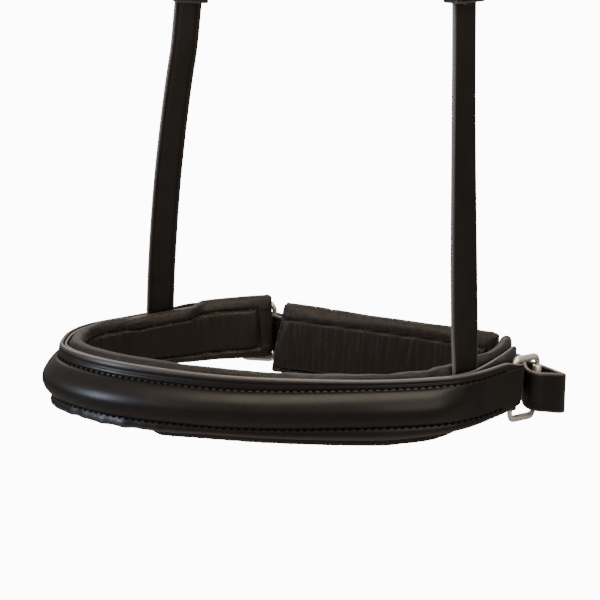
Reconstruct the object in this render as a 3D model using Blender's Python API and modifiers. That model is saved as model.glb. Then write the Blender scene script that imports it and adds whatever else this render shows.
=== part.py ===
"""Padded crank noseband on its headstrap: raised leather nosepiece, chin pad, rings, buckles, straps.

Lengths are metres and +Z is up. Points are first given in the noseband's own frame: x to the right,
y towards the back, z = 0 at the top rim of the nosepiece's front branch. One empty then carries
everything so that the world origin is under the crown of the headstrap, where it hangs.
"""
import math

import bmesh
import bpy
from mathutils import Matrix, Vector

MM = 0.001
GAP = 0.3 * MM

# Leather thicknesses
FRONT = 2.2 * MM
BACKING = 2.0 * MM
STRAP = 2.8 * MM
CHAPE = 1.8 * MM
TONGUE = 2.6 * MM
PAD_SKIN = 1.0 * MM
PAD_DEPTH = 8.0 * MM
FOAM_INSET = PAD_SKIN + 1.3 * MM

# Widths across each strip
BAND_WIDTH = 32 * MM
DOME_WIDTH = 20.5 * MM
DOME_RISE = 6.8 * MM
NOSE_PAD_ABOVE = 2 * MM
NOSE_PAD_BELOW = 2 * MM
NOSE_PAD_DROP = 2.4 * MM
CHIN_PAD_WIDTH = 43.5 * MM
CHIN_BACKING_WIDTH = 34 * MM
CHEEK_WIDTH = 16 * MM
TONGUE_WIDTH = 22 * MM
CHAPE_WIDTH = 22 * MM

# The band's lower edge rises towards the crank end, and its corners are cut back at both ends
END_TAPER = 3.7 * MM
TAPER_FROM = 45 * MM
TAPER_RUN = 73 * MM
END_CUT = 3.4 * MM
END_RUN = 14 * MM
# The raised middle sits lower at the front of the nose than it does towards the crank
DOME_LEVEL = 15.3 * MM
DOME_DROP = 2.7 * MM

# Where the crown rests on what holds it, in the noseband's frame
HANG = Vector((16.5, 65, 448)) * MM

# Outer face of the nosepiece at its top rim, from the crank end round the nose to the other end
NOSE_RIM = [
    (118, 40, 0), (105.5, 28, 0), (92, 15, 0), (75, 6, 0), (45, 0.4, 0), (8, 0.8, 0), (-30, 5.6, 0),
    (-66, 15.5, 0), (-98, 29, 0), (-121, 46, 0), (-133, 62, 0.2), (-134, 78, 0.3), (-130.5, 93, 0.5),
    (-120.5, 105, 1.2), (-101, 113.5, 2.7), (-79, 121.5, 4.3), (-52, 128, 6.6), (-18.8, 131, 8.5),
]
# At the crank end the backing and the pad leave the outer band and turn in, ahead of the ring
INNER_START = [(120, 66, 3), (117.5, 56.5, 2.4), (111.5, 45, 1.6), (102, 31, 0.6), (94.5, 20.6, 0), (88, 13.5, 0)]
# Back face of the chin pad at its top edge, from the far ring to the crank end
CHIN_RIM = [(-8, 120, 7.8), (18, 112.5, 6.6), (45, 104, 5.2), (70, 97, 3.6), (92, 89.5, 2), (111, 80.5, 0.8)]
# The chin strap's centre line from the pad's end: through the near ring, out round its roller and back
TONGUE_ROUTE = [
    (119, 78, -20.2), (121.8, 69, -20), (121.9, 60, -20.2), (122.2, 52, -20.6), (126.5, 47.6, -21.4),
    (134.3, 50.5, -23), (141, 56, -25.3), (144, 64, -27.6), (141, 72.5, -28.4), (133, 81, -27.6),
    (121, 90, -25.6), (108, 97.2, -23.3),
]

FAR_LIFT = 8.8 * MM
FAR_SHORT = 15.2 * MM
BACKING_SHORT = 14.2 * MM
RING_CENTRE = 19.5 * MM
FAR_RING_TURN = math.radians(-12)
CRANK_BAR_RUN = 62 * MM
CRANK_BAR_OUT = 12.1 * MM

# Cheek straps: foot on the nosepiece, heel bar of the buckle, and the turn of the face from front
RIGHT_FOOT = Vector((90.2, 14.6, 0)) * MM
RIGHT_BAR = Vector((81.2, 26, 228)) * MM
RIGHT_TURN = math.radians(42)
LEFT_FOOT = Vector((-80.3, 115.7, 4)) * MM
LEFT_BAR = Vector((-56.3, 107, 218)) * MM
LEFT_TURN = math.radians(207)
CHEEK_TAIL = 22 * MM
STRAP_BOW = 1.3 * MM
CHEEK_BOW = {"right": Vector((-1.4, 0, 0)) * MM, "left": Vector((-2.6, 0, 0)) * MM}
CHEEK_STRAIGHT = 62 * MM
CROWN_STRAIGHT = 130 * MM

# Buckles, in their own frame: x across the strap, y out of its face, z towards where the billet comes from
BAR_RADIUS = 1.5 * MM
PRONG_RADIUS = 1.1 * MM
FRAME_LENGTH = 20 * MM
SLOT_WIDTH = 3.2 * MM
HOLE_RADIUS = 2.2 * MM
KEEPER_WALL = 1.5 * MM
KEEPER_HEIGHT = 9 * MM

# Rings, in their own frame: x from the sewn bar to the far bar, y out of the noseband, z up
RING_WIRE = 1.4 * MM
RING_LENGTH = 20 * MM
RING_HALF_HEIGHT = 16.5 * MM
RING_CORNER = 4 * MM
ROLLER_RADIUS = 2.5 * MM
ROLLER_BORE = 1.75 * MM
ROLLER_LENGTH = 23 * MM

LEATHER = ("bridle_leather", (0.022, 0.017, 0.015), 0.42, 0.0)
SOFT_LEATHER = ("pad_leather", (0.016, 0.012, 0.011), 0.6, 0.0)
FOAM = ("pad_foam", (0.08, 0.08, 0.08), 0.9, 0.0)
STEEL = ("polished_steel", (0.62, 0.6, 0.57), 0.2, 1.0)


def clear_scene():
    for item in list(bpy.data.objects):
        bpy.data.objects.remove(item)


def collection(name):
    made = bpy.data.collections.new(name)
    bpy.context.scene.collection.children.link(made)
    return made


def material(node_name, finish):
    kind, colour, roughness, metallic = finish
    made = bpy.data.materials.new(f"{kind}.{node_name}")
    made.use_nodes = True
    shader = made.node_tree.nodes["Principled BSDF"]
    shader.inputs["Base Color"].default_value = (*colour, 1)
    shader.inputs["Roughness"].default_value = roughness
    shader.inputs["Metallic"].default_value = metallic
    return made


def place(data, name, finish, parent, origin=(0, 0, 0)):
    """An object of the model, with its own material, under the empty that carries it."""
    made = bpy.data.objects.new(name, data)
    parts.objects.link(made)
    data.materials.append(material(name, finish))
    made.parent = parent
    made.location = origin
    return made


def empty(name, matrix, parent=None):
    made = bpy.data.objects.new(name, None)
    guides.objects.link(made)
    made.parent = parent
    made.matrix_local = matrix
    return made


def smooth_path(points, step):
    """Points about one step apart along a smooth curve through the given points."""
    points = [Vector(p) for p in points]
    first = 2 * points[0] - points[1]
    last = 2 * points[-1] - points[-2]
    chain = [first] + points + [last]
    dense = []
    for i in range(1, len(chain) - 2):
        p0, p1, p2, p3 = chain[i - 1:i + 3]
        for k in range(16):
            t = k / 16
            dense.append(0.5 * (2 * p1 + (p2 - p0) * t + (2 * p0 - 5 * p1 + 4 * p2 - p3) * t ** 2
                                + (3 * p1 - p0 - 3 * p2 + p3) * t ** 3))
    dense.append(points[-1])
    return resample(dense, step)


def resample(dense, step):
    run = [0.0]
    for a, b in zip(dense, dense[1:]):
        run.append(run[-1] + (b - a).length)
    count = max(2, round(run[-1] / step))
    out = []
    j = 0
    for k in range(count + 1):
        want = run[-1] * k / count
        while j < len(dense) - 2 and run[j + 1] < want:
            j += 1
        span = run[j + 1] - run[j]
        out.append(dense[j].lerp(dense[j + 1], (want - run[j]) / span if span else 0))
    return out


def distances(points):
    run = [0.0]
    for a, b in zip(points, points[1:]):
        run.append(run[-1] + (b - a).length)
    return run


def ease(t):
    t = min(1, max(0, t))
    return t * t * (3 - 2 * t)


def outward(points):
    """For each point of a rim, the level direction square to it, out of the loop."""
    out = []
    for i in range(len(points)):
        a = points[max(0, i - 1)]
        b = points[min(len(points) - 1, i + 1)]
        along = (b - a).normalized()
        out.append(Vector((-along.y, along.x, 0)).normalized())
    return out


def sheet(name, rows, thickness, finish, origin=(0, 0, 0), parent=None, offset=0.0):
    """An open grid bent through the rows of points, thickened by Solidify."""
    parent = parent or carrier
    across = len(rows[0])
    bm = bmesh.new()
    bmesh.ops.create_grid(bm, x_segments=across - 1, y_segments=len(rows) - 1, size=1)
    bm.verts.ensure_lookup_table()
    for j, row in enumerate(rows):
        for i, point in enumerate(row):
            bm.verts[j * across + i].co = Vector(point) - Vector(origin)
    mesh = bpy.data.meshes.new(name)
    bm.to_mesh(mesh)
    bm.free()
    made = place(mesh, name, finish, parent, origin)
    wall = made.modifiers.new("Thickness", "SOLIDIFY")
    wall.thickness = thickness
    wall.offset = offset
    wall.use_even_offset = True
    return made


def ribbon(name, centres, acrosses, width, thickness, finish, origin=(0, 0, 0), parent=None):
    """A flat strap: a line of centres, each with the direction across the strap."""
    rows = [(c - a * width / 2, c + a * width / 2) for c, a in zip(centres, acrosses)]
    return sheet(name, rows, thickness, finish, origin, parent)


def loft(name, rings, finish, origin=(0, 0, 0), parent=None):
    """A solid through closed rings of points, one face strip between each two, with flat ends."""
    parent = parent or carrier
    bm = bmesh.new()
    loops = [[bm.verts.new(Vector(p) - Vector(origin)) for p in ring] for ring in rings]
    count = len(rings[0])
    for a, b in zip(loops, loops[1:]):
        for i in range(count):
            bm.faces.new((a[i], a[(i + 1) % count], b[(i + 1) % count], b[i]))
    bm.faces.new(loops[0])
    bm.faces.new(loops[-1])
    bmesh.ops.recalc_face_normals(bm, faces=bm.faces)
    mesh = bpy.data.meshes.new(name)
    bm.to_mesh(mesh)
    bm.free()
    return place(mesh, name, finish, parent, origin)


def wire(name, points, radius, finish, cyclic=False, parent=None, origin=(0, 0, 0)):
    """A round wire along the points: a curve with a bevel and filled caps."""
    curve = bpy.data.curves.new(name, "CURVE")
    curve.dimensions = "3D"
    curve.bevel_depth = radius
    curve.bevel_resolution = 2
    curve.use_fill_caps = not cyclic
    spline = curve.splines.new("POLY")
    spline.points.add(len(points) - 1)
    for knot, point in zip(spline.points, points):
        knot.co = (*(Vector(point) - Vector(origin)), 1)
    spline.use_cyclic_u = cyclic
    return place(curve, name, finish, parent or carrier, origin)


def cut(target, cutter):
    """Takes the cutter's shape out of the target."""
    cutter.hide_render = True
    cutter.display_type = "WIRE"
    boolean = target.modifiers.new("Cut", "BOOLEAN")
    boolean.operation = "DIFFERENCE"
    boolean.solver = "EXACT"
    boolean.object = cutter


def cutter_cylinder(name, matrix, radius, depth, stretch=1.0):
    bm = bmesh.new()
    bmesh.ops.create_cone(bm, cap_ends=True, segments=16, radius1=radius, radius2=radius, depth=depth)
    bmesh.ops.scale(bm, vec=(1, stretch, 1), verts=bm.verts)
    mesh = bpy.data.meshes.new(name)
    bm.to_mesh(mesh)
    bm.free()
    made = bpy.data.objects.new(name, mesh)
    cutters.objects.link(made)
    made.parent = carrier
    made.matrix_local = matrix
    return made


def cutter_box(name, matrix, size):
    bm = bmesh.new()
    bmesh.ops.create_cube(bm, size=1)
    bmesh.ops.scale(bm, vec=size, verts=bm.verts)
    mesh = bpy.data.meshes.new(name)
    bm.to_mesh(mesh)
    bm.free()
    made = bpy.data.objects.new(name, mesh)
    cutters.objects.link(made)
    made.parent = carrier
    made.matrix_local = matrix
    return made


def frame_matrix(x_axis, y_axis, z_axis, origin):
    made = Matrix((x_axis, y_axis, z_axis)).transposed().to_4x4()
    made.translation = origin
    return made


# Nosepiece ---------------------------------------------------------------------------------

def nose_outer(step):
    """Rim points of the outer band with outward directions and run from the crank end."""
    rim = smooth_path([Vector(p) * MM for p in NOSE_RIM], step)
    run = distances(rim)
    out = outward(rim)
    end = run[-1] - FAR_SHORT
    for i, s in enumerate(run):
        rim[i] = rim[i] + out[i] * FAR_LIFT * ease((s - end + 46 * MM) / (22 * MM))
    return rim, out, run


def nose_inner(step):
    """The same for the backing and pad, measured to the outer face that they would share."""
    rim = smooth_path([Vector(p) * MM for p in INNER_START + NOSE_RIM[3:]], step)
    return rim, outward(rim), distances(rim)


def at_run(rim, out, run, s):
    """Point and outward direction at a distance along a rim."""
    i = max(j for j in range(len(run) - 1) if run[j] <= s)
    share = (s - run[i]) / (run[i + 1] - run[i])
    return rim[i].lerp(rim[i + 1], share), out[i].lerp(out[i + 1], share).normalized()


def strip_rows(rim, out, depths, sections):
    """Rows across a strip: each depth is inward from the rim's outer face, each level is below the rim."""
    rows = []
    for point, normal, shift, section in zip(rim, out, depths, sections):
        rows.append([point - normal * (shift + d) - Vector((0, 0, v)) for d, v in section])
    return rows


def end_taper(point):
    """How far the lower edges have risen at a point on the way to the crank end."""
    return END_TAPER * min(1, max(0, (point.x - TAPER_FROM) / TAPER_RUN))


def band_edges(point, s, length):
    """Levels of the outer band's top and bottom edges."""
    near_cut = END_CUT * (1 - ease(s / END_RUN))
    far_cut = END_CUT * (1 - ease((length - s) / END_RUN))
    return near_cut + far_cut, BAND_WIDTH - end_taper(point) - near_cut * 0.5 - far_cut


def dome_centre(point):
    return DOME_LEVEL + DOME_DROP * ease((55 * MM - point.x) / (110 * MM))


def dome_height(across):
    """Rise of the raised middle, across it from -1 at its upper seam to 1 at its lower one."""
    if abs(across) >= 1:
        return 0
    return DOME_RISE * math.cos(across * math.pi / 2) ** 0.8


def dome_share(s, length):
    """The dome fades out before each end of the band."""
    return ease((s - 34 * MM) / (30 * MM)) * ease((length - s - 22 * MM) / (30 * MM))


def build_nosepiece():
    rim, out, run = nose_outer(7 * MM)
    length = run[-1] - FAR_SHORT
    dome_steps = [-1, -0.85, -0.62, -0.33, 0, 0.33, 0.62, 0.85, 1]
    half = DOME_WIDTH / 2
    rows = []
    for point, normal, s in zip(rim, out, run):
        if s > length:
            break
        rise = dome_share(s, length)
        top, bottom = band_edges(point, s, length)
        centre = dome_centre(point)
        upper_seam = centre - half
        lower_seam = centre + half
        strip = [(top, 0), ((top + upper_seam) / 2, 0)]
        strip += [(centre + across * half, dome_height(across) * rise) for across in dome_steps]
        strip += [((bottom + lower_seam) / 2, 0), (bottom, 0)]
        rows.append([point + normal * (height - FRONT / 2) - Vector((0, 0, v)) for v, height in strip])
    sheet("nose_front", rows, FRONT, LEATHER)

    # The filler of the dome, a half-oval with its flat side on the backing
    rings = []
    for point, normal, s in zip(rim, out, run):
        rise = dome_share(s, length)
        if rise < 0.55:
            continue
        half = DOME_WIDTH / 2 - FRONT - 0.9 * MM
        height = DOME_RISE * rise - 0.75 * MM
        ring_points = []
        for k in range(9):
            angle = math.pi * k / 8
            depth = FRONT - (height - 0.2 * MM) * math.sin(angle) ** 0.9
            ring_points.append(point - normal * depth
                               + Vector((0, 0, half * math.cos(angle) - dome_centre(point))))
        rings.append(ring_points)
    loft("nose_core", rings, FOAM)

    rim, out, run = nose_inner(7 * MM)
    depth = FRONT + GAP + BACKING / 2
    picked = slice(0, len([s for s in run if s <= run[-1] - BACKING_SHORT]))
    flats = []
    for point in rim[picked]:
        low = BAND_WIDTH - end_taper(point) - 0.6 * MM
        flats.append([(0, 0.6 * MM), (0, low / 2), (0, low)])
    rows = strip_rows(rim[picked], out[picked], [depth] * len(rim), flats)
    sheet("nose_backing", rows, BACKING, LEATHER)

    deep = FRONT + BACKING + 2 * GAP
    depths = [deep + strap_pocket(point) for point in rim]
    bottoms = [BAND_WIDTH - end_taper(point) + pad_below(point) for point in rim]
    build_pad("nose_pad", rim, out, depths, -NOSE_PAD_ABOVE, bottoms)


def pad_below(point):
    """The pad shows most below the band at the front of the nose, and hardly at the crank end."""
    front = ease((60 * MM - point.x) / (70 * MM)) * ease((70 * MM - point.y) / (40 * MM))
    return NOSE_PAD_BELOW + NOSE_PAD_DROP * front


def strap_pocket(point):
    """The pad stands off where a cheek strap's end lies behind it."""
    extra = 0
    for foot in (RIGHT_FOOT, LEFT_FOOT):
        away = (Vector((point.x, point.y)) - Vector((foot.x, foot.y))).length
        extra += (STRAP + GAP + 2 * STRAP_BOW) * ease((26 * MM - away) / (10 * MM))
    return extra


def pad_section(top, bottom, depth, inset):
    """Half the pad's outline from its top hem over the inner face to its bottom hem."""
    half = (bottom - top) / 2
    middle = (bottom + top) / 2
    outline = [
        (0.0, half - 9 * MM), (0.0, half - 2.5 * MM), (1.5 * MM, half - 0.3 * MM),
        (depth * 0.55, half), (depth * 0.92, half - 2.6 * MM), (depth * 0.9, half - 6.5 * MM),
        (depth, half - 10.5 * MM),
    ]
    upper = [(max(d, inset), middle - min(h, half - inset)) for d, h in outline]
    lower = [(max(d, inset), middle + min(h, half - inset)) for d, h in reversed(outline)]
    return [(min(d, depth - inset), v) for d, v in upper + lower]


def build_pad(prefix, rim, out, depths, top, bottoms):
    """Soft leather wrapped over foam and turned in behind it, and the foam itself."""
    sections = [pad_section(top, bottom, PAD_DEPTH, 0) for bottom in bottoms]
    cover = sheet(prefix + "_cover", strip_rows(rim, out, depths, sections), PAD_SKIN, SOFT_LEATHER, offset=-1)
    cover.modifiers["Thickness"].use_even_offset = False
    inners = [pad_section(top, bottom, PAD_DEPTH, FOAM_INSET) for bottom in bottoms]
    loft(prefix + "_foam", strip_rows(rim[1:-1], out[1:-1], depths[1:-1], inners[1:-1]), FOAM)


# Buckles -----------------------------------------------------------------------------------

def fold_line(main_from, inner_to, thickness):
    """A strap folded round the heel bar: (y, z) from its main run, over the bar, to its turned end."""
    around = BAR_RADIUS + GAP + thickness / 2
    settled = 13 * MM
    line = [(0, main_from), (0, -settled)]
    for share in (0.25, 0.5, 0.75):
        line.append((around * ease(share), -settled + (settled - 2 * MM) * share))
    for k in range(0, 9):
        angle = math.pi * k / 8
        line.append((around * math.cos(angle), around * math.sin(angle)))
    inner = -(thickness + GAP)
    for share in (0.3, 0.65, 1.0):
        line.append((-around + (inner + around) * ease(share), -2 * MM - (settled - 2 * MM) * share))
    line.append((inner, inner_to))
    return line


def billet_height(lift, thickness):
    """How far a billet's middle stands out from the heel bar, over a fold of the given thickness."""
    return BAR_RADIUS + 2 * GAP + lift + thickness / 2


def billet_line(tip, up_to, lift, thickness):
    """A billet through the buckle: (y, z) from its tip, over the heel bar, under the front bar."""
    over = billet_height(lift, thickness)
    under = BAR_RADIUS + 1.5 * GAP + thickness / 2
    flat = lift / 2 + GAP + thickness / 2
    knots = [
        (flat, tip), (flat, -15 * MM), (flat + (over - flat) * 0.5, -8.5 * MM), (over, -2.5 * MM),
        (over * 0.93, 3 * MM), (over * 0.5, 8.5 * MM), (-under * 0.35, 13.5 * MM),
        (-under, 18.5 * MM), (-under * 1.02, 22.5 * MM), (-under * 0.6, 31 * MM), (0, 44 * MM), (0, up_to),
    ]
    return [(p.x, p.y) for p in smooth_path([(y, z, 0) for y, z in knots], 2.6 * MM)]


def in_frame(matrix, line):
    return [matrix @ Vector((0, y, z)) for y, z in line]


def rounded_rectangle(half_x, half_y, corner, steps):
    """Corner arcs of a rectangle, counter-clockwise."""
    points = []
    for k, (sx, sy) in enumerate(((1, 1), (-1, 1), (-1, -1), (1, -1))):
        for i in range(steps + 1):
            angle = math.pi / 2 * (k + i / steps)
            points.append((sx * (half_x - corner) + corner * math.cos(angle),
                           sy * (half_y - corner) + corner * math.sin(angle)))
    return points


def keeper(name, carrier_empty, half_width, low, high, centre):
    """A leather loop round the strap: a flat outline, drawn up and thickened."""
    curve = bpy.data.curves.new(name, "CURVE")
    curve.dimensions = "2D"
    curve.fill_mode = "NONE"
    curve.extrude = KEEPER_HEIGHT / 2
    spline = curve.splines.new("POLY")
    outline = rounded_rectangle(half_width, (high - low) / 2, 0.9 * MM, 3)
    spline.points.add(len(outline) - 1)
    for knot, (x, y) in zip(spline.points, outline):
        knot.co = (x, y, 0, 1)
    spline.use_cyclic_u = True
    made = place(curve, name, LEATHER, carrier_empty, (0, (high + low) / 2, centre))
    wall = made.modifiers.new("Thickness", "SOLIDIFY")
    wall.thickness = KEEPER_WALL
    wall.offset = 1
    wall.use_even_offset = True
    return made


def buckle(prefix, matrix, strap_width, low, high, over, fixed_at, slider_at):
    """Frame, prong and two keepers round the heel bar at the frame's origin."""
    base = empty(prefix + "_buckle_place", matrix, carrier)
    half = strap_width / 2 + 1 * MM + BAR_RADIUS
    outline = rounded_rectangle(half, FRAME_LENGTH / 2, 3 * MM, 4)
    wire(prefix + "_buckle_frame", [(x, 0, z + FRAME_LENGTH / 2) for x, z in outline], BAR_RADIUS, STEEL,
         cyclic=True, parent=base)
    around = BAR_RADIUS + 0.35 * MM + PRONG_RADIUS
    line = []
    for k in range(10):
        angle = math.radians(-50 - 215 * k / 9)
        line.append((around * math.cos(angle), around * math.sin(angle)))
    line += [(over * share, z * MM) for share, z in ((0.1, 4.4), (0.26, 6.2), (0.5, 8.5), (0.71, 11),
                                                     (0.77, 13.5), (0.69, 16))]
    line += [(3.6 * MM, 18.6 * MM), (3.0 * MM, 20.5 * MM), (2.65 * MM, 22.4 * MM)]
    wire(prefix + "_prong", [(0, y, z) for y, z in line], PRONG_RADIUS, STEEL, parent=base)
    keeper(prefix + "_fixed_keeper", base, strap_width / 2 + 0.5 * MM, low, high, fixed_at)
    keeper(prefix + "_sliding_keeper", base, strap_width / 2 + 0.5 * MM, low, high, slider_at)
    return base


def prong_slot(prefix, target, matrix):
    """The slot in the fold that lets the prong round the heel bar."""
    at = matrix @ Matrix.Translation((0, 0, 1.5 * MM))
    cut(target, cutter_box(prefix + "_slot_cutter", at, (SLOT_WIDTH, 12 * MM, 13 * MM)))


def billet_holes(prefix, target, matrix, over, places):
    """The oval hole that the prong is through, and round ones up and down the strap."""
    lean = Matrix.Rotation(math.radians(-37), 4, "X")
    at = matrix @ Matrix.Translation((0, over * 0.5, 8.5 * MM)) @ lean @ Matrix.Translation((0, 1.0 * MM, 0))
    cut(target, cutter_cylinder(prefix + "_prong_hole_cutter", at, HOLE_RADIUS, 9 * MM, 1.6))
    for k, z in enumerate(places):
        at = matrix @ Matrix.Translation((0, 0, z)) @ Matrix.Rotation(math.pi / 2, 4, "X")
        cut(target, cutter_cylinder(f"{prefix}_hole_cutter_{k}", at, HOLE_RADIUS, 14 * MM))


# Headstrap ---------------------------------------------------------------------------------

def buckle_matrix(foot, bar, turn):
    """The buckle's frame at the top of a cheek strap: z up the strap, y out of its outer face."""
    along = (bar - foot).normalized()
    face = Vector((math.sin(turn), -math.cos(turn), 0))
    across = face.cross(along).normalized()
    return frame_matrix(across, along.cross(across), along, bar)


def strap_foot(near):
    """Where a cheek strap leaves the noseband, behind the backing, and the rim's direction there."""
    rim, out, run = nose_inner(1 * MM)
    i = min(range(1, len(rim) - 1), key=lambda k: (rim[k].xy - near.xy).length)
    along = rim[i + 1] - rim[i - 1]
    lie = FRONT + BACKING + 2 * GAP + STRAP / 2 + STRAP_BOW
    return rim[i] - out[i] * lie, Vector((along.x, along.y, 0)).normalized()


def build_cheek(prefix, foot, along_rim, matrix):
    """One cheek strap: its tail behind the backing, its run up, and the fold round the heel bar."""
    across_top = matrix.to_3x3().col[0].normalized()
    across_foot = along_rim if along_rim.dot(across_top) > 0 else -along_rim
    fold = in_frame(matrix, fold_line(-CHEEK_STRAIGHT, -36 * MM, STRAP))
    lower = [foot - Vector((0, 0, CHEEK_TAIL)), foot - Vector((0, 0, CHEEK_TAIL / 2)), foot]
    upper = fold[0]
    for share in (0.2, 0.5, 0.8):
        lower.append(foot.lerp(upper, share) + CHEEK_BOW[prefix] * 4 * share * (1 - share))
    lower.append(upper)
    run = smooth_path(lower, 9 * MM)
    acrosses = []
    for point in run:
        share = ease((point.z - foot.z) / (upper.z - foot.z))
        acrosses.append(across_foot.lerp(across_top, share).normalized())
    straight = resample([fold[0], fold[1]], 16 * MM)
    centres = run + straight[1:] + fold[2:]
    acrosses += [across_top] * (len(centres) - len(run))
    strap = ribbon(prefix + "_cheek", centres, acrosses, CHEEK_WIDTH, STRAP, LEATHER)
    prong_slot(prefix, strap, matrix)
    return strap


def build_crown(right, left):
    """The crown strap: a billet down to each buckle and an arch between them."""
    line = billet_line(-39 * MM, CROWN_STRAIGHT, STRAP, STRAP)
    right_billet = in_frame(right, line)
    left_billet = in_frame(left, line)
    right_top, left_top = right_billet[-1], left_billet[-1]
    crown_top = HANG + Vector((0, 0, STRAP / 2))
    chord = left_top - right_top
    shoulder = 0.17
    arch = smooth_path([
        right_billet[-2], right_top, right_top + chord * 0.06 + Vector((0, 0, (crown_top.z - right_top.z) * 0.52)),
        right_top + chord * shoulder + Vector((0, 0, (crown_top.z - right_top.z) * 0.84)),
        crown_top,
        left_top - chord * shoulder + Vector((0, 0, (crown_top.z - left_top.z) * 0.84)),
        left_top - chord * 0.06 + Vector((0, 0, (crown_top.z - left_top.z) * 0.52)), left_top, left_billet[-2],
    ], 8 * MM)
    right_across = right.to_3x3().col[0].normalized()
    left_across = -left.to_3x3().col[0].normalized()
    inner_arch = [p for p in arch if p.z > max(right_top.z, left_top.z) + 1 * MM]
    centres = right_billet + inner_arch + list(reversed(left_billet))
    acrosses = []
    for i in range(len(centres)):
        share = ease((i - len(right_billet)) / (len(inner_arch) - 1))
        acrosses.append(right_across.lerp(left_across, share).normalized())
    strap = ribbon("crown_strap", centres, acrosses, CHEEK_WIDTH, STRAP, LEATHER)
    spare = (-12 * MM, 28 * MM, 48 * MM)
    over = billet_height(STRAP, STRAP)
    billet_holes("right", strap, right, over, spare)
    billet_holes("left", strap, left, over, spare)
    return strap


# Rings and chin assembly -------------------------------------------------------------------

def ring(prefix, matrix, roller):
    base = empty(prefix + "_ring_place", matrix, carrier)
    outline = rounded_rectangle(RING_LENGTH / 2, RING_HALF_HEIGHT, RING_CORNER, 4)
    wire(prefix + "_ring", [(x + RING_LENGTH / 2, 0, z) for x, z in outline], RING_WIRE, STEEL,
         cyclic=True, parent=base)
    if roller:
        half = ROLLER_LENGTH / 2
        profile = bpy.data.meshes.new(prefix + "_roller")
        corners = [(ROLLER_RADIUS, 0, half), (ROLLER_RADIUS, 0, -half), (ROLLER_BORE, 0, -half),
                   (ROLLER_BORE, 0, half)]
        profile.from_pydata(corners, [(0, 1), (1, 2), (2, 3), (3, 0)], [])
        made = place(profile, prefix + "_roller", STEEL, base, (RING_LENGTH, 0, 0))
        screw = made.modifiers.new("Turn", "SCREW")
        screw.steps = 20
        screw.render_steps = 20
        screw.use_merge_vertices = True
        screw.merge_threshold = 0.00001
    return base


def ring_matrix(centre, along, lean):
    """A ring's frame: x along the given level direction and then leaning down, z up."""
    side = Vector((-along.y, along.x, 0))
    x_axis = along * math.cos(lean) - Vector((0, 0, math.sin(lean)))
    return frame_matrix(x_axis, side, x_axis.cross(side), centre)


def fold_round(matrix, radius, towards, out):
    """Points half way round a ring's bar, from its outer side to its inner side."""
    outer = 1 if matrix.to_3x3().col[1].dot(out) > 0 else -1
    points = []
    for k in range(9):
        angle = math.pi * k / 8
        points.append(matrix @ Vector((towards * radius * math.sin(angle),
                                       outer * radius * math.cos(angle), 0)))
    return points


def build_ring_end(prefix, place_at, along, lean, rim, out, run, from_end, roller):
    """A ring and the chape that sews it between the outer band and the backing."""
    around = RING_WIRE + GAP + CHAPE / 2
    lie = FRONT + GAP + CHAPE / 2
    point, normal = at_run(rim, out, run, place_at)
    bar = point - normal * (lie + around) - Vector((0, 0, RING_CENTRE))
    matrix = ring_matrix(bar, along, lean)
    ring(prefix, matrix, roller)
    centres = []
    for share in (1.0, 0.7, 0.4):
        p, n = at_run(rim, out, run, place_at + from_end * share)
        centres.append(p - n * lie - Vector((0, 0, BAND_WIDTH / 2 + 1 * MM)))
    centres += fold_round(matrix, around, 1, normal)
    for share in (0.4, 0.7, 1.0):
        p, n = at_run(rim, out, run, place_at + from_end * share)
        closing = 2 * around + (CHAPE + GAP - 2 * around) * ease(share * 1.1 - 0.1)
        centres.append(p - n * (lie + closing) - Vector((0, 0, BAND_WIDTH / 2 + 1 * MM)))
    up = matrix.to_3x3().col[2].normalized()
    ribbon(prefix + "_ring_chape", centres, [up] * len(centres), CHAPE_WIDTH, CHAPE, LEATHER)
    return matrix


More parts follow.
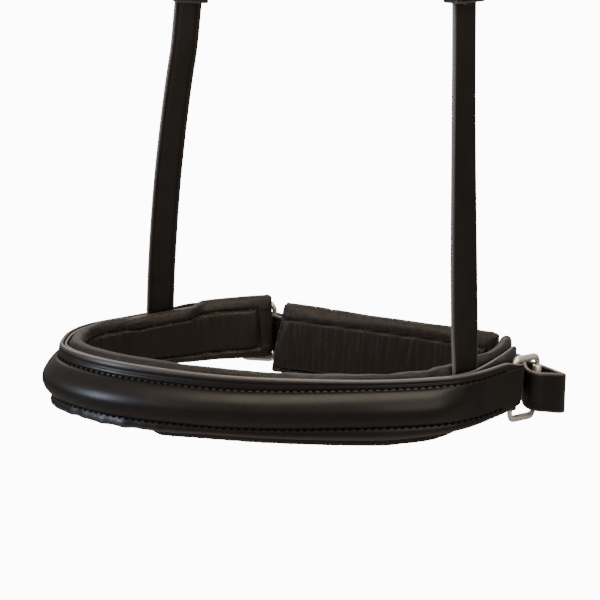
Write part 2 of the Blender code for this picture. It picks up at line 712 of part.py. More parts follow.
def build_chin(far_ring):
    """Chin pad, its backing, and the long chin strap from the far ring to the crank buckle."""
    rim = smooth_path([Vector(p) * MM for p in CHIN_RIM], 7 * MM)
    out = outward(rim)
    run = distances(rim)
    along = (rim[-1] - rim[0]).normalized()
    square = out[len(out) // 2].cross(along).normalized()
    across = square if square.z < 0 else -square

    build_tilted_pad("chin_pad", rim, out, across, pad_section(0, CHIN_PAD_WIDTH, PAD_DEPTH, 0))

    middle = CHIN_PAD_WIDTH / 2
    picked = [i for i, s in enumerate(run) if 20 * MM < s < run[-1] - 3 * MM]
    centres = [rim[i] + out[i] * (GAP + BACKING / 2) + across * middle for i in picked]
    ribbon("chin_backing", centres, [across] * len(centres), CHIN_BACKING_WIDTH, BACKING, LEATHER)

    lie = 2 * GAP + BACKING + TONGUE / 2
    around = RING_WIRE + GAP + TONGUE / 2
    bar = far_ring @ Matrix.Translation((RING_LENGTH, 0, 0))
    fold = list(reversed(fold_round(bar, around, -1, out[0])))
    centres = []
    for s in (17 * MM, 9 * MM):
        p, n = at_run(rim, out, run, s)
        centres.append(p + n * (GAP + TONGUE / 2) + across * middle)
    centres += fold
    for s in (9 * MM, 17 * MM):
        p, n = at_run(rim, out, run, s)
        centres.append(p + n * (GAP + TONGUE / 2 + TONGUE + GAP) + across * middle)
    first_turn = len(centres)
    p, n = at_run(rim, out, run, 27 * MM)
    back = [p + n * lie + across * middle]
    for s in (40, 60, 80, 100):
        p, n = at_run(rim, out, run, s * MM)
        back.append(p + n * lie + across * middle)
    p, n = at_run(rim, out, run, run[-1] - 8 * MM)
    back.append(p + n * lie + across * middle)
    route = back + [Vector(q) * MM for q in TONGUE_ROUTE]

    p, n = at_run(rim, out, run, CRANK_BAR_RUN)
    along_here = (across.cross(n)).normalized()
    along_here = along_here if along_here.x > 0 else -along_here
    crank = frame_matrix(n.cross(along_here), n, along_here, p + n * CRANK_BAR_OUT + across * middle)
    tongue = in_frame(crank, billet_line(-44 * MM, 47 * MM, CHAPE, TONGUE))
    end = list(reversed(tongue))
    route += [end[0]]
    curve = smooth_path(route, 4.5 * MM)
    centres += curve + end[1:]
    up = -across
    ring_up = Vector((0, 0, 1))
    acrosses = []
    for i in range(len(centres)):
        if i < first_turn:
            acrosses.append(far_ring.to_3x3().col[2] if 2 <= i < first_turn - 2 else up)
        else:
            in_curve = (i - first_turn) / len(curve)
            middle_share = ease(in_curve * 4 - 1.3) * (1 - ease(in_curve * 5 - 3.9))
            acrosses.append(up.lerp(ring_up, min(1, max(0, middle_share))).normalized())
    strap = ribbon("chin_strap", centres, acrosses, TONGUE_WIDTH, TONGUE, LEATHER)
    billet_holes("crank", strap, crank, billet_height(CHAPE, TONGUE), (-12 * MM, 29 * MM))

    chape = in_frame(crank, fold_line(-46 * MM, -40 * MM, CHAPE))
    chape_strap = ribbon("crank_chape", chape, [crank.to_3x3().col[0].normalized()] * len(chape),
                         TONGUE_WIDTH, CHAPE, LEATHER)
    prong_slot("crank", chape_strap, crank)
    low = -(CHAPE + GAP) - CHAPE / 2 - 0.35 * MM
    high = CHAPE / 2 + GAP + TONGUE + 0.35 * MM
    buckle("crank", crank, TONGUE_WIDTH, low, high, billet_height(CHAPE, TONGUE), -18 * MM, -32 * MM)
    return crank


def build_tilted_pad(prefix, rim, out, across, section):
    """The chin pad: its section hangs along the across direction, and its inner face looks forward."""
    rows = [[p - n * d + across * v for d, v in section] for p, n in zip(rim, out)]
    cover = sheet(prefix + "_cover", rows, PAD_SKIN, SOFT_LEATHER, offset=-1)
    cover.modifiers["Thickness"].use_even_offset = False
    inner = pad_section(0, CHIN_PAD_WIDTH, PAD_DEPTH, FOAM_INSET)
    rings = [[p - n * d + across * v for d, v in inner] for p, n in list(zip(rim, out))[1:-1]]
    loft(prefix + "_foam", rings, FOAM)


def build_headstrap():
    low = -(STRAP + GAP) - STRAP / 2 - 0.35 * MM
    high = STRAP / 2 + GAP + STRAP + 0.35 * MM
    matrices = {}
    for prefix, near, bar, turn in (("right", RIGHT_FOOT, RIGHT_BAR, RIGHT_TURN),
                                    ("left", LEFT_FOOT, LEFT_BAR, LEFT_TURN)):
        foot, along_rim = strap_foot(near)
        matrix = buckle_matrix(foot, bar, turn)
        matrices[prefix] = matrix
        build_cheek(prefix, foot, along_rim, matrix)
        buckle(prefix, matrix, CHEEK_WIDTH, low, high, billet_height(STRAP, STRAP), -18 * MM, -33.5 * MM)
    build_crown(matrices["right"], matrices["left"])


def build_rings():
    rim, out, run = nose_outer(7 * MM)
    start = (rim[0] - rim[1]).normalized()
    near = build_ring_end("near", 0.5 * MM, Vector((start.x, start.y, 0)).normalized(), math.radians(5),
                          rim, out, run, 20 * MM, True)
    along = Vector((math.cos(FAR_RING_TURN), math.sin(FAR_RING_TURN), 0))
    far = build_ring_end("far", run[-1] - FAR_SHORT, along, 0, rim, out, run, -21 * MM, False)
    return near, far


clear_scene()
parts = collection("crank_noseband")
cutters = collection("cutters")
guides = collection("guides")
carrier = empty("noseband_frame", Matrix.Translation(-HANG))
build_nosepiece()
near_ring, far_ring = build_rings()
build_chin(far_ring)
build_headstrap()
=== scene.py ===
import math
import bmesh
import bpy
from mathutils import Matrix, Vector, kdtree, noise


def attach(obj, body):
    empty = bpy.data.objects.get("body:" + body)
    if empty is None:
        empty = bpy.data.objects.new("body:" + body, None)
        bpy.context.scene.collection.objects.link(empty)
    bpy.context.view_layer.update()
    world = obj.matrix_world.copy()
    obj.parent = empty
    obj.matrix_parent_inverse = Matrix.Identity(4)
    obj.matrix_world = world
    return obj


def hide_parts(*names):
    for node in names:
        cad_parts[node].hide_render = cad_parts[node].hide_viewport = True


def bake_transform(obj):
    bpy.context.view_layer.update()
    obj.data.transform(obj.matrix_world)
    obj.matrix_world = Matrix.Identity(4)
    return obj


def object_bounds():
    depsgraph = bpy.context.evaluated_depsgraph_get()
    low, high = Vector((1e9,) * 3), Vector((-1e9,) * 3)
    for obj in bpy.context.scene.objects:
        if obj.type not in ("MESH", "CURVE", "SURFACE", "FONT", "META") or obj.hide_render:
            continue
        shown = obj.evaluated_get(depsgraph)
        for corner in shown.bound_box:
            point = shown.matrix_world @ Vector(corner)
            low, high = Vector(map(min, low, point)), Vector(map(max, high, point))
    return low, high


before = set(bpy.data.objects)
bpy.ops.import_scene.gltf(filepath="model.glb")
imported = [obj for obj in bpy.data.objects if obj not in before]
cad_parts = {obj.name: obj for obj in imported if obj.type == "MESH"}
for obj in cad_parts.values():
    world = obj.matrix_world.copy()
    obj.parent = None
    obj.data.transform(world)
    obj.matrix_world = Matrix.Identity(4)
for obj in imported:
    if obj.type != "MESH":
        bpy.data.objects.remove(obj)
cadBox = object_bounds()
mm = 0.001
hang = Vector((16.5, 65, 448))   # the crown's underside, in the noseband's own millimetres


def linear(hexColour):   # sRGB hex to the linear values that a shader takes
    parts = [int(hexColour[i:i + 2], 16) / 255 for i in (1, 3, 5)]
    return tuple(c / 12.92 if c <= 0.04045 else ((c + 0.055) / 1.055) ** 2.4 for c in parts) + (1.0,)


def linked(name, data):
    made = bpy.data.objects.new(name, data)
    bpy.context.scene.collection.objects.link(made)
    return made


# Camera, room and floor

studio = {"room": "#f7ecdf", "roomStrength": 0.42, "sweepStrength": 12, "floor": "#8c8986", "floorBelow": 0.3,
          "cameraPlace": (0, -951.5, 310.5), "cameraPitch": 15.7, "lens": 117.2, "sensor": 36}
lamps = [   # name, place from the noseband's middle in metres, size, power, colour
    ("softAbove", (0.05, -0.35, 0.75), (1.1, 0.4), 5.6, "#fff0dc"),
    ("windowLeft", (-0.95, -0.36, 0.18), (0.1, 0.4), 4.6, "#d9e6ff"),
    ("fillRight", (0.55, -0.9, 0.3), (0.9, 0.9), 3.2, "#fff4ec"),
    ("softBehind", (-0.1, 0.8, 0.7), (1.2, 0.6), 5.0, "#ffffff"),
]


def addCamera():
    data = bpy.data.cameras.new("frontCamera")
    data.sensor_width = studio["sensor"]
    data.lens = studio["lens"]
    camera = linked("frontCamera", data)
    camera.location = (Vector(studio["cameraPlace"]) - hang) * mm
    camera.rotation_euler = (math.radians(90 - studio["cameraPitch"]), 0, 0)
    bpy.context.scene.camera = camera


def addLamps():
    middle = (Vector((0, 60, 0)) - hang) * mm
    for name, place, size, power, colour in lamps:
        data = bpy.data.lights.new(name, "AREA")
        data.shape = "RECTANGLE"
        data.size, data.size_y = size
        data.energy = power
        data.color = linear(colour)[:3]
        lamp = linked(name, data)
        lamp.location = middle + Vector(place)
        lamp.rotation_euler = (-Vector(place)).to_track_quat("-Z", "Y").to_euler()
    world = bpy.data.worlds.new("whiteRoom")
    bpy.context.scene.world = world
    world.use_nodes = True
    tree = world.node_tree
    sky = tree.nodes["Background"]
    sky.inputs["Color"].default_value = linear(studio["room"])
    sky.inputs["Strength"].default_value = studio["roomStrength"]
    seen = addNode(tree, "ShaderNodeLightPath")
    sweep = addNode(tree, "ShaderNodeBackground", {"Strength": studio["sweepStrength"]})
    mixShaders(tree, seen, sky, sweep, tree.nodes["World Output"])


def mixShaders(tree, seen, lit, sweep, output):   # the sweep stays overexposed without lighting the leather
    mix = addNode(tree, "ShaderNodeMixShader", Fac=(seen, "Is Camera Ray"))
    tree.links.new(lit.outputs[0], mix.inputs[1])
    tree.links.new(sweep.outputs[0], mix.inputs[2])
    tree.links.new(mix.outputs[0], output.inputs["Surface"])


# Materials

def addNode(tree, kind, settings=None, **links):   # a link is socket_name=(node, output)
    node = tree.nodes.new(kind)
    for name, value in (settings or {}).items():
        if name in node.inputs.keys():
            node.inputs[name].default_value = value
        else:
            setattr(node, name, value)
    for name, (source, output) in links.items():
        tree.links.new(source.outputs[output], node.inputs[name.replace("_", " ")])
    return node


def newMaterial(name, colour, roughness, metallic=0.0, **sockets):
    made = bpy.data.materials.new(name)
    made.use_nodes = True
    shader = made.node_tree.nodes["Principled BSDF"]
    shader.inputs["Base Color"].default_value = linear(colour)
    shader.inputs["Roughness"].default_value = roughness
    shader.inputs["Metallic"].default_value = metallic
    for socket, value in sockets.items():
        shader.inputs[socket.replace("_", " ")].default_value = value
    return made, made.node_tree, shader


def texture(tree, kind, size, vector, **settings):   # size is how far apart its features lie, in millimetres
    return addNode(tree, "ShaderNodeTex" + kind, {"Scale": 1 / (size * mm), **settings}, Vector=vector)


def mixColours(tree, first, second, share):
    return addNode(tree, "ShaderNodeMixRGB", {"Color1": linear(first), "Color2": linear(second)}, Fac=share)


def bump(tree, strength, depth, **links):
    return addNode(tree, "ShaderNodeBump", {"Strength": strength, "Distance": depth * mm}, **links)


def roughen(tree, shader, low, high, value):
    rough = addNode(tree, "ShaderNodeMapRange", {"To Min": low, "To Max": high}, Value=value)
    tree.links.new(rough.outputs["Result"], shader.inputs["Roughness"])


def bridleLeather():
    # Drum-dyed cowhide, waxed and hand-creased: close grain, satin face, edges painted lighter, partly as
    # burnished wear and partly as painted highlight.
    face = {"black": "#0f0c0a", "bloom": "#1b1611", "edge": "#7c7674", "grain": 0.55, "fine": 1.6,
            "cloud": 14, "rough": (0.3, 0.44)}
    made, tree, shader = newMaterial("bridleLeather", face["black"], 0.4, Specular_IOR_Level=0.36,
                                     Coat_Weight=0.1, Coat_Roughness=0.28)
    place = addNode(tree, "ShaderNodeTexCoord"), "Object"
    cloud = texture(tree, "Noise", face["cloud"], place, Detail=3)
    bloom = mixColours(tree, face["black"], face["bloom"], (cloud, "Fac"))
    # The edge share lightens the base colour towards pale grey: partly the burnished cut edge's own colour,
    # partly a painted highlight where edges face the lamps.
    wornAndSheen = addNode(tree, "ShaderNodeAttribute", {"attribute_name": "edgeWearAndSheen"})
    edge = addNode(tree, "ShaderNodeMixRGB", {"Color2": linear(face["edge"])}, Fac=(wornAndSheen, "Fac"),
                   Color1=(bloom, "Color"))
    tree.links.new(edge.outputs["Color"], shader.inputs["Base Color"])
    roughen(tree, shader, *face["rough"], (cloud, "Fac"))
    grain = texture(tree, "Voronoi", face["grain"], place)
    fine = texture(tree, "Noise", face["fine"], place, Detail=4)
    coarse = bump(tree, 0.18, 0.12, Height=(fine, "Fac"))
    close = bump(tree, 0.12, 0.06, Height=(grain, "Distance"), Normal=(coarse, "Normal"))
    tree.links.new(close.outputs["Normal"], shader.inputs["Normal"])
    return made


def gloveLeather():
    # Soft chrome-tanned leather pulled over foam: matt, browner in its folds, creased across the pad.
    face = {"black": "#130e0a", "bloom": "#2c2219", "crease": 2.8, "pull": (1, 1, 0.16), "pebble": 0.9}
    made, tree, shader = newMaterial("gloveLeather", face["black"], 0.52, Specular_IOR_Level=0.4,
                                     Sheen_Weight=0.12, Sheen_Roughness=0.4)
    place = addNode(tree, "ShaderNodeTexCoord"), "Object"
    stretch = addNode(tree, "ShaderNodeMapping", {"Scale": face["pull"]}, Vector=place)
    crease = texture(tree, "Noise", face["crease"], (stretch, "Vector"), Detail=3, Distortion=0.6)
    pebble = texture(tree, "Voronoi", face["pebble"], place)
    bloom = mixColours(tree, face["black"], face["bloom"], (crease, "Fac"))
    tree.links.new(bloom.outputs["Color"], shader.inputs["Base Color"])
    pebbled = bump(tree, 0.2, 0.1, Height=(pebble, "Distance"))
    creased = bump(tree, 0.45, 0.35, Height=(crease, "Fac"), Normal=(pebbled, "Normal"))
    tree.links.new(creased.outputs["Normal"], shader.inputs["Normal"])
    return made


def waxedThread():
    # Black bonded polyester thread, waxed: matt black beads. The twist is drawn coarser than it is.
    made, tree, shader = newMaterial("waxedThread", "#050404", 0.75, Specular_IOR_Level=0.15)
    place = addNode(tree, "ShaderNodeTexCoord"), "Object"
    twisted = bump(tree, 0.3, 0.05, Height=(texture(tree, "Noise", 0.4, place), "Fac"))
    tree.links.new(twisted.outputs["Normal"], shader.inputs["Normal"])
    return made


def polishedSteel():
    # Cast stainless steel, tumbled and buffed: warm white, softly blurred by hairline scratches.
    made, tree, shader = newMaterial("polishedSteel", "#fffaf0", 0.34, 0.85)
    place = addNode(tree, "ShaderNodeTexCoord"), "Object"
    hair = texture(tree, "Noise", 0.7, place, Detail=2)
    roughen(tree, shader, 0.3, 0.4, (hair, "Fac"))
    scratched = bump(tree, 0.05, 0.03, Height=(hair, "Fac"))
    tree.links.new(scratched.outputs["Normal"], shader.inputs["Normal"])
    return made


def feltFiller():
    # Grey needled felt and foam, inside the leather where nothing shows.
    made, tree, shader = newMaterial("feltFiller", "#504c48", 0.95)
    place = addNode(tree, "ShaderNodeTexCoord"), "Object"
    matted = bump(tree, 0.5, 0.2, Height=(texture(tree, "Noise", 0.8, place, Detail=4), "Fac"))
    tree.links.new(matted.outputs["Normal"], shader.inputs["Normal"])
    return made


leather = bridleLeather()
softLeather = gloveLeather()
thread = waxedThread()
steel = polishedSteel()
felt = feltFiller()


# Lines and solids

def ease(t):
    t = min(1, max(0, t))
    return t * t * (3 - 2 * t)


def evenly(dense, step):
    run = runOf(dense)
    count = max(2, round(run[-1] / step))
    out = []
    j = 0
    for k in range(count + 1):
        want = run[-1] * k / count
        while j < len(dense) - 2 and run[j + 1] < want:
            j += 1
        span = run[j + 1] - run[j]
        out.append(dense[j].lerp(dense[j + 1], (want - run[j]) / span if span else 0))
    return out


def smoothRoute(points, step):
    # Points one step apart along a smooth curve through the given ones.
    points = [Vector(p) for p in points]
    chain = [2 * points[0] - points[1]] + points + [2 * points[-1] - points[-2]]
    dense = []
    for i in range(1, len(chain) - 2):
        p0, p1, p2, p3 = chain[i - 1:i + 3]
        for k in range(16):
            t = k / 16
            dense.append(0.5 * (2 * p1 + (p2 - p0) * t + (2 * p0 - 5 * p1 + 4 * p2 - p3) * t ** 2
                                + (3 * p1 - p0 - 3 * p2 + p3) * t ** 3))
    dense.append(points[-1])
    return evenly(dense, step)


def runOf(points):
    run = [0.0]
    for a, b in zip(points, points[1:]):
        run.append(run[-1] + (b - a).length)
    return run


def alongAt(points, i):
    return points[min(len(points) - 1, i + 1)] - points[max(0, i - 1)]


def levelOut(points):
    # At each point of a rim, the level direction out of the loop.
    out = []
    for i in range(len(points)):
        along = alongAt(points, i)
        out.append(Vector((-along.y, along.x, 0)).normalized())
    return out


def skin(bm, pairs, count):
    for a, b in pairs:
        for i in range(count):
            bm.faces.new((a[i], a[(i + 1) % count], b[(i + 1) % count], b[i]))


def loft(name, rings, material, wearAndSheen=None, closed=False, smoothing=1):
    # A solid through closed rings of points in millimetres; the list after the material gives each ring
    # point's share of the lighter edge colour, which is partly worn cut edge and partly painted highlight.
    bm = bmesh.new()
    layer = bm.verts.layers.float.new("edgeWearAndSheen")
    if not closed:
        rings = [shrunk(rings[0], 0.8)] + list(rings) + [shrunk(rings[-1], 0.8)]
    loops = []
    for ring in rings:
        loops.append([bm.verts.new((Vector(p) - hang) * mm) for p in ring])
        for vertex, share in zip(loops[-1], wearAndSheen or [0] * len(ring)):
            vertex[layer] = share
    if not closed:
        for vertex in loops[0] + loops[-1]:
            vertex[layer] = 1 if wearAndSheen else 0
    skin(bm, zip(loops, loops[1:] + loops[:1] if closed else loops[1:]), len(rings[0]))
    if not closed:
        bm.faces.new(loops[0])
        bm.faces.new(loops[-1])
    bmesh.ops.recalc_face_normals(bm, faces=bm.faces)
    return finishMesh(name, bm, material, smoothing)


def shrunk(ring, share):
    middle = sum((Vector(p) for p in ring), Vector()) / len(ring)
    return [middle.lerp(Vector(p), share) for p in ring]


def finishMesh(name, bm, material, smoothing=0):
    mesh = bpy.data.meshes.new(name)
    bm.to_mesh(mesh)
    bm.free()
    mesh.materials.append(material)
    for polygon in mesh.polygons:
        polygon.use_smooth = True
    piece = linked(name, mesh)
    if smoothing:
        subdivide(piece, smoothing)
    return piece


def subdivide(piece, levels):
    stack = piece.modifiers.new("Smooth", "SUBSURF")
    stack.levels = levels
    stack.render_levels = levels


def applyStack(piece):
    # The piece keeps what its modifiers make of it.
    bpy.context.view_layer.update()
    made = bpy.data.meshes.new_from_object(piece.evaluated_get(bpy.context.evaluated_depsgraph_get()))
    old = piece.data
    piece.modifiers.clear()
    piece.data = made
    bpy.data.meshes.remove(old)


bluntTip = 0.35   # how wide a strap's point still is, as a share of the strap


def strapSection(width, thickness, crease):
    # Across a strap: rounded edges and a crease line near each; (across, out, share of the lighter edge
    # colour). That share is partly worn cut edge and partly painted highlight; the 0.12 on the flat beside
    # each edge is a painted highlight on the raised bead by the crease.
    half = width / 2
    t = thickness / 2
    right = [(half * 0.5, t + 0.04, 0)]
    right += [(half - crease - 0.45, t, 0), (half - crease, t - 0.42, 0), (half - crease + 0.45, t, 0)]
    right += [(half - 0.75, t, 0.12), (half - 0.2, t * 0.72, 0.8), (half, 0, 1), (half - 0.2, -t * 0.72, 0.8),
              (half - 0.75, -t, 0), (half * 0.4, -t, 0)]
    left = [(-x, y, e) for x, y, e in reversed(right)]
    return right + left


def strap(name, centres, acrosses, width, thickness, crease, tipRun=0, tips=(False, False)):
    # A leather strap along a line, its width drawn in to a rounded point at a tip.
    run = runOf(centres)
    rings = []
    section = strapSection(width, thickness, crease)
    for i, (centre, across) in enumerate(zip(centres, acrosses)):
        along = alongAt(centres, i).normalized()
        flat = (across - along * across.dot(along)).normalized()
        out = flat.cross(along)
        share = 1.0
        for tip, away in zip(tips, (run[i], run[-1] - run[i])):
            if tip and away < tipRun:
                near = away / tipRun
                share = bluntTip + (1 - bluntTip) * math.sqrt(max(0, 1 - (1 - near) ** 2))
        rings.append([centre + flat * (x * share) + out * y for x, y, e in section])
    return loft(name, rings, leather, [e for x, y, e in section])


def stitches(name, points, outs, pitch=3.9, length=2.5, radius=0.52, lean=0.0):
    # A row of thread stitches lying along the points, each a low bead that dips in at its ends.
    run = runOf(points)
    bm = bmesh.new()
    count = int(run[-1] / pitch)
    around = [math.tau * n / 6 for n in range(6)]
    j = 0
    for k in range(count):
        want = (k + 0.5) * pitch
        while run[j + 1] < want:
            j += 1
        share = (want - run[j]) / (run[j + 1] - run[j])
        centre = points[j].lerp(points[j + 1], share)
        along = (points[j + 1] - points[j]).normalized()
        up = outs[j].lerp(outs[j + 1], share)
        up = (up - along * up.dot(along)).normalized()
        side = along.cross(up)
        along = (along + side * lean).normalized()
        side = along.cross(up)
        beads = []
        for t in (-1, -0.72, -0.25, 0.25, 0.72, 1):
            thick = radius * max(0.22, (1 - abs(t) ** 3)) ** 0.5
            middle = centre + along * (t * length / 2) - up * (0.12 + 0.45 * radius * abs(t) ** 3)
            beads.append([bm.verts.new((middle + side * math.cos(a) * thick + up * math.sin(a) * thick
                                        - hang) * mm) for a in around])
        skin(bm, zip(beads, beads[1:]), len(around))
        bm.faces.new(beads[0])
        bm.faces.new(beads[-1])
    bmesh.ops.recalc_face_normals(bm, faces=bm.faces)
    return finishMesh(name, bm, thread)


def tube(name, points, radius, cyclic=False, radii=None):
    # A round bar of steel along the points, with a smooth curve between them.
    curve = bpy.data.curves.new(name, "CURVE")
    curve.dimensions = "3D"
    curve.bevel_depth = radius * mm
    curve.bevel_resolution = 6
    curve.use_fill_caps = not cyclic
    spline = curve.splines.new("POLY")
    spline.points.add(len(points) - 1)
    for i, (knot, point) in enumerate(zip(spline.points, points)):
        knot.co = (*((Vector(point) - hang) * mm), 1)
        knot.radius = radii[i] if radii else 1
    spline.use_cyclic_u = cyclic
    curve.materials.append(steel)
    return linked(name, curve)


def put(piece, body, slotName, *nodes):
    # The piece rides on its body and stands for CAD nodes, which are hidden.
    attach(piece, body)
    if nodes:
        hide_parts(*nodes)
    return piece


# Nosepiece

nose = {"rim": [(118, 40, 0), (105.5, 28, 0), (92, 15, 0), (75, 6, 0), (45, 0.4, 0), (8, 0.8, 0),
                (-30, 5.6, 0), (-66, 15.5, 0), (-98, 29, 0), (-121, 46, 0), (-133, 62, 0.2), (-134, 78, 0.3),
                (-130.5, 93, 0.5), (-120.5, 105, 1.2), (-101, 113.5, 2.7), (-79, 121.5, 4.3), (-52, 128, 6.6),
                (-18.8, 131, 8.5)],
        "innerStart": [(120, 66, 3), (117.5, 56.5, 2.4), (111.5, 45, 1.6), (102, 31, 0.6), (94.5, 20.6, 0),
                       (88, 13.5, 0)],
        "width": 32, "front": 2.2, "backing": 2.0, "gap": 0.3, "domeWidth": 20.5, "domeRise": 6.8,
        "domeLevel": 15.3, "domeDrop": 2.7, "taper": 3.7, "taperFrom": 45, "taperRun": 73, "endCut": 3.4,
        "endRun": 14, "farLift": 8.8, "farShort": 15.2, "backingShort": 14.2,
        "domeFrom": 34, "domeEnd": 22, "nearStretch": 1.4, "ripple": 0.8,
        "deeper": 0.8, "sagLeft": 1.0, "flareLeft": 3.0, "tuckRight": 1.4}


def outerRim(step):
    rim = smoothRoute(nose["rim"], step)
    run = runOf(rim)
    out = levelOut(rim)
    end = run[-1] - nose["farShort"]
    rim = [p + n * nose["farLift"] * ease((s - end + 46) / 22) for p, n, s in zip(rim, out, run)]
    return rim, out, run


def innerRim(step):
    rim = smoothRoute(nose["innerStart"] + nose["rim"][3:], step)
    return rim, levelOut(rim), runOf(rim)


def endTaper(point):
    return nose["taper"] * min(1, max(0, (point.x - nose["taperFrom"]) / nose["taperRun"]))


def domeCentre(point):
    return nose["domeLevel"] + nose["domeDrop"] * ease((55 - point.x) / 110)


def domeHeight(across):
    return 0 if abs(across) >= 1 else nose["domeRise"] * math.cos(across * math.pi / 2) ** 0.8


def domeShare(s, length):
    return ease((s - nose["domeFrom"]) / 30) * ease((length - s - nose["domeEnd"]) / 30)


def bandEdges(point, s, length):
    nearCut = nose["endCut"] * (1 - ease(s / nose["endRun"]))
    farCut = (nose["endCut"] + 1.2) * (1 - ease((length - s) / 45))
    low = nose["width"] + nose["deeper"] + nose["sagLeft"] * ease((-45 - point.x) / 30) - endTaper(point)
    return nearCut + farCut, low - nearCut * 0.5 - farCut


def flare(point, v):
    # How far the band leans out at level v: a cone at the left, tucked in at the crank end.
    lean = nose["flareLeft"] * ease((-30 - point.x) / 75) - nose["tuckRight"] * ease((point.x - 60) / 45)
    return lean * (v - 17) / 16


def makeNoseFront():
    rim, out, run = outerRim(2.6)
    length = run[-1] - nose["farShort"]
    half = nose["domeWidth"] / 2
    rings = []
    upperSeam = []
    lowerSeam = []
    outs = []
    for point, normal, s in zip(rim, out, run):
        if s > length:
            break
        rise = domeShare(s, length)
        top, bottom = bandEdges(point, s, length)
        centre = domeCentre(point)
        seamUp = centre - half
        seamDown = centre + half
        room = seamUp - top
        face = [(top, -1.5), (top + 0.15, -0.6), (top + 0.7, 0.0), (top + room * 0.3, 0.12),
                (top + room * 0.42, -0.02), (top + room * 0.48, -0.38), (top + room * 0.54, -0.02),
                (top + room * 0.6, 0), (top + room * 0.65, -0.25), (top + room * 0.7, -0.02),
                (seamUp - 1.3, -0.05), (seamUp - 0.6, -0.55), (seamUp + 0.2, -0.5 + 0.3 * rise)]
        face += [(centre + a * half, domeHeight(a) * rise)
                 for a in (-0.95, -0.87, -0.75, -0.6, -0.42, -0.22, 0, 0.22, 0.42, 0.6, 0.75, 0.87, 0.95)]
        floor = bottom - seamDown
        face += [(seamDown - 0.2, -0.5 + 0.3 * rise), (seamDown + 0.6, -0.55), (seamDown + 1.3, -0.05),
                 (seamDown + floor * 0.5, 0.04), (bottom - 0.7, 0), (bottom - 0.15, -0.6), (bottom, -1.5)]
        back = [(bottom - 0.15, -2.0), (bottom - 0.7, -2.2), (seamDown - 1.2, -2.2)]
        back += [(centre + a * (half - 2.2), domeHeight(a) * rise * 0.97 - 2.2)
                 for a in (0.8, 0.5, 0.2, -0.2, -0.5, -0.8)]
        back += [(seamUp + 1.2, -2.2), (top + 0.7, -2.2), (top + 0.15, -2.0)]
        ripple = nose["ripple"] * ease((-58 - point.x) / 14) * ease((60 - point.y) / 12)
        ripple *= noise.noise(Vector((s / 2.6, 5.2, 0))) + 0.6 * noise.noise(Vector((s / 6.5, 1.7, 0)))
        rings.append([point + normal * (h + flare(point, v) + ripple * ease((v - seamDown + 1) / 3))
                      - Vector((0, 0, v + 0.9 * ripple * ease((v - seamDown) / 4))) for v, h in face + back])
        # Painted highlight, partly real edge wear: the upper and lower edge beads and the back edges take the
        # lighter edge colour.
        wornAndSheen = [0.75, 0.7, 0.25]
        wearAndSheen = wornAndSheen + [0] * (len(face) - 6) + wornAndSheen[::-1] + [0.6] + [0] * (len(back) - 2) + [0.6]
        upperSeam.append(point - Vector((0, 0, seamUp - 0.5)) + normal * (flare(point, seamUp) - 0.1))
        lowerSeam.append(point - Vector((0, 0, seamDown + 0.5)) + normal * (flare(point, seamDown) - 0.1))
        outs.append(normal)
    stretch = (rim[0] - rim[1]).normalized() * nose["nearStretch"]
    rings[0] = [p + stretch for p in rings[0]]
    piece = loft("noseFront", rings, leather, wearAndSheen)
    put(piece, "noseband", "bridle_leather", "nose_front")
    sewn = slice(5, -4)
    for row, seam in (("Upper", upperSeam), ("Lower", lowerSeam)):
        threads = stitches("nose" + row + "Stitching", seam[sewn], outs[sewn], lean=-0.4)
        put(threads, "noseband", "bridle_leather")
    print("nosepiece front and its two sewn seams made")


def makeNoseBacking():
    rim, out, run = innerRim(3)
    rings = []
    for point, normal, s in zip(rim, out, run):
        if s > run[-1] - nose["backingShort"]:
            break
        wave = 0.35 * noise.noise(Vector((s / 9, 0, 4))) * ease((60 - s) / 30)
        low = nose["width"] + nose["deeper"] - endTaper(point) - 0.6
        cut = 4.6 * (1 - ease(s / 12))
        d = nose["front"] + nose["gap"] + 0.05
        section = [(d, 1.2 + cut), (d + 0.15, 0.75 + cut), (d + 0.95, 0.45 + wave + cut),
                   (d + 1.75, 0.75 + cut), (d + 1.9, 1.4 + cut), (d + 1.9, low - 0.9), (d + 1.6, low - 0.2),
                   (d + 0.95, low), (d + 0.2, low - 0.2), (d, low - 0.9)]
        rings.append([point + normal * (flare(point, v) - depth) - Vector((0, 0, v)) for depth, v in section])
    # The rounded top and bottom edges take the lighter edge colour: partly worn cut edge, partly painted
    # highlight.
    wearAndSheen = [0, 0.5, 1, 0.5, 0] * 2
    put(loft("noseBacking", rings, leather, wearAndSheen), "noseband", "bridle_leather", "nose_backing")
    print("thin layer behind the nosepiece made")


# Pads

padding = {"voxel": 1.7, "pressure": 5.0, "frames": 20, "most": 1.4, "stretchStiff": 20, "bendStiff": 0.4,
           "mass": 0.05, "inset": 0.3, "corner": 3.4, "seamWidth": 1.0, "seamDepth": 2.0, "fill": 0.7}
nosePadding = {"depth": 8, "above": 2.5, "below": 2, "drop": 4.2, "farAbove": 1.4, "uneven": 0.5,
               "farBelow": 1.2, "farLift": 1.7, "farStretch": 2.2, "rolls": (7.6, 7.2), "ends": (6.5, 6.5),
               "wrinkle": 0.32}


def padSection(top, bottom, depth):
    # Across a pad: a rounded bar with its flat back at depth 0.
    inset = padding["inset"]
    corner = padding["corner"]
    high = (bottom - top) / 2 - inset
    middle = (top + bottom) / 2
    outline = []
    for sx, sv, first in ((1, 1, 0), (-1, 1, 90), (-1, -1, 180), (1, -1, 270)):
        for k in range(4):
            angle = math.radians(first + 30 * k)
            outline.append((depth / 2 + sx * (depth / 2 - inset - corner) + corner * math.cos(angle),
                            middle + sv * (high - corner) + corner * math.sin(angle)))
    return outline


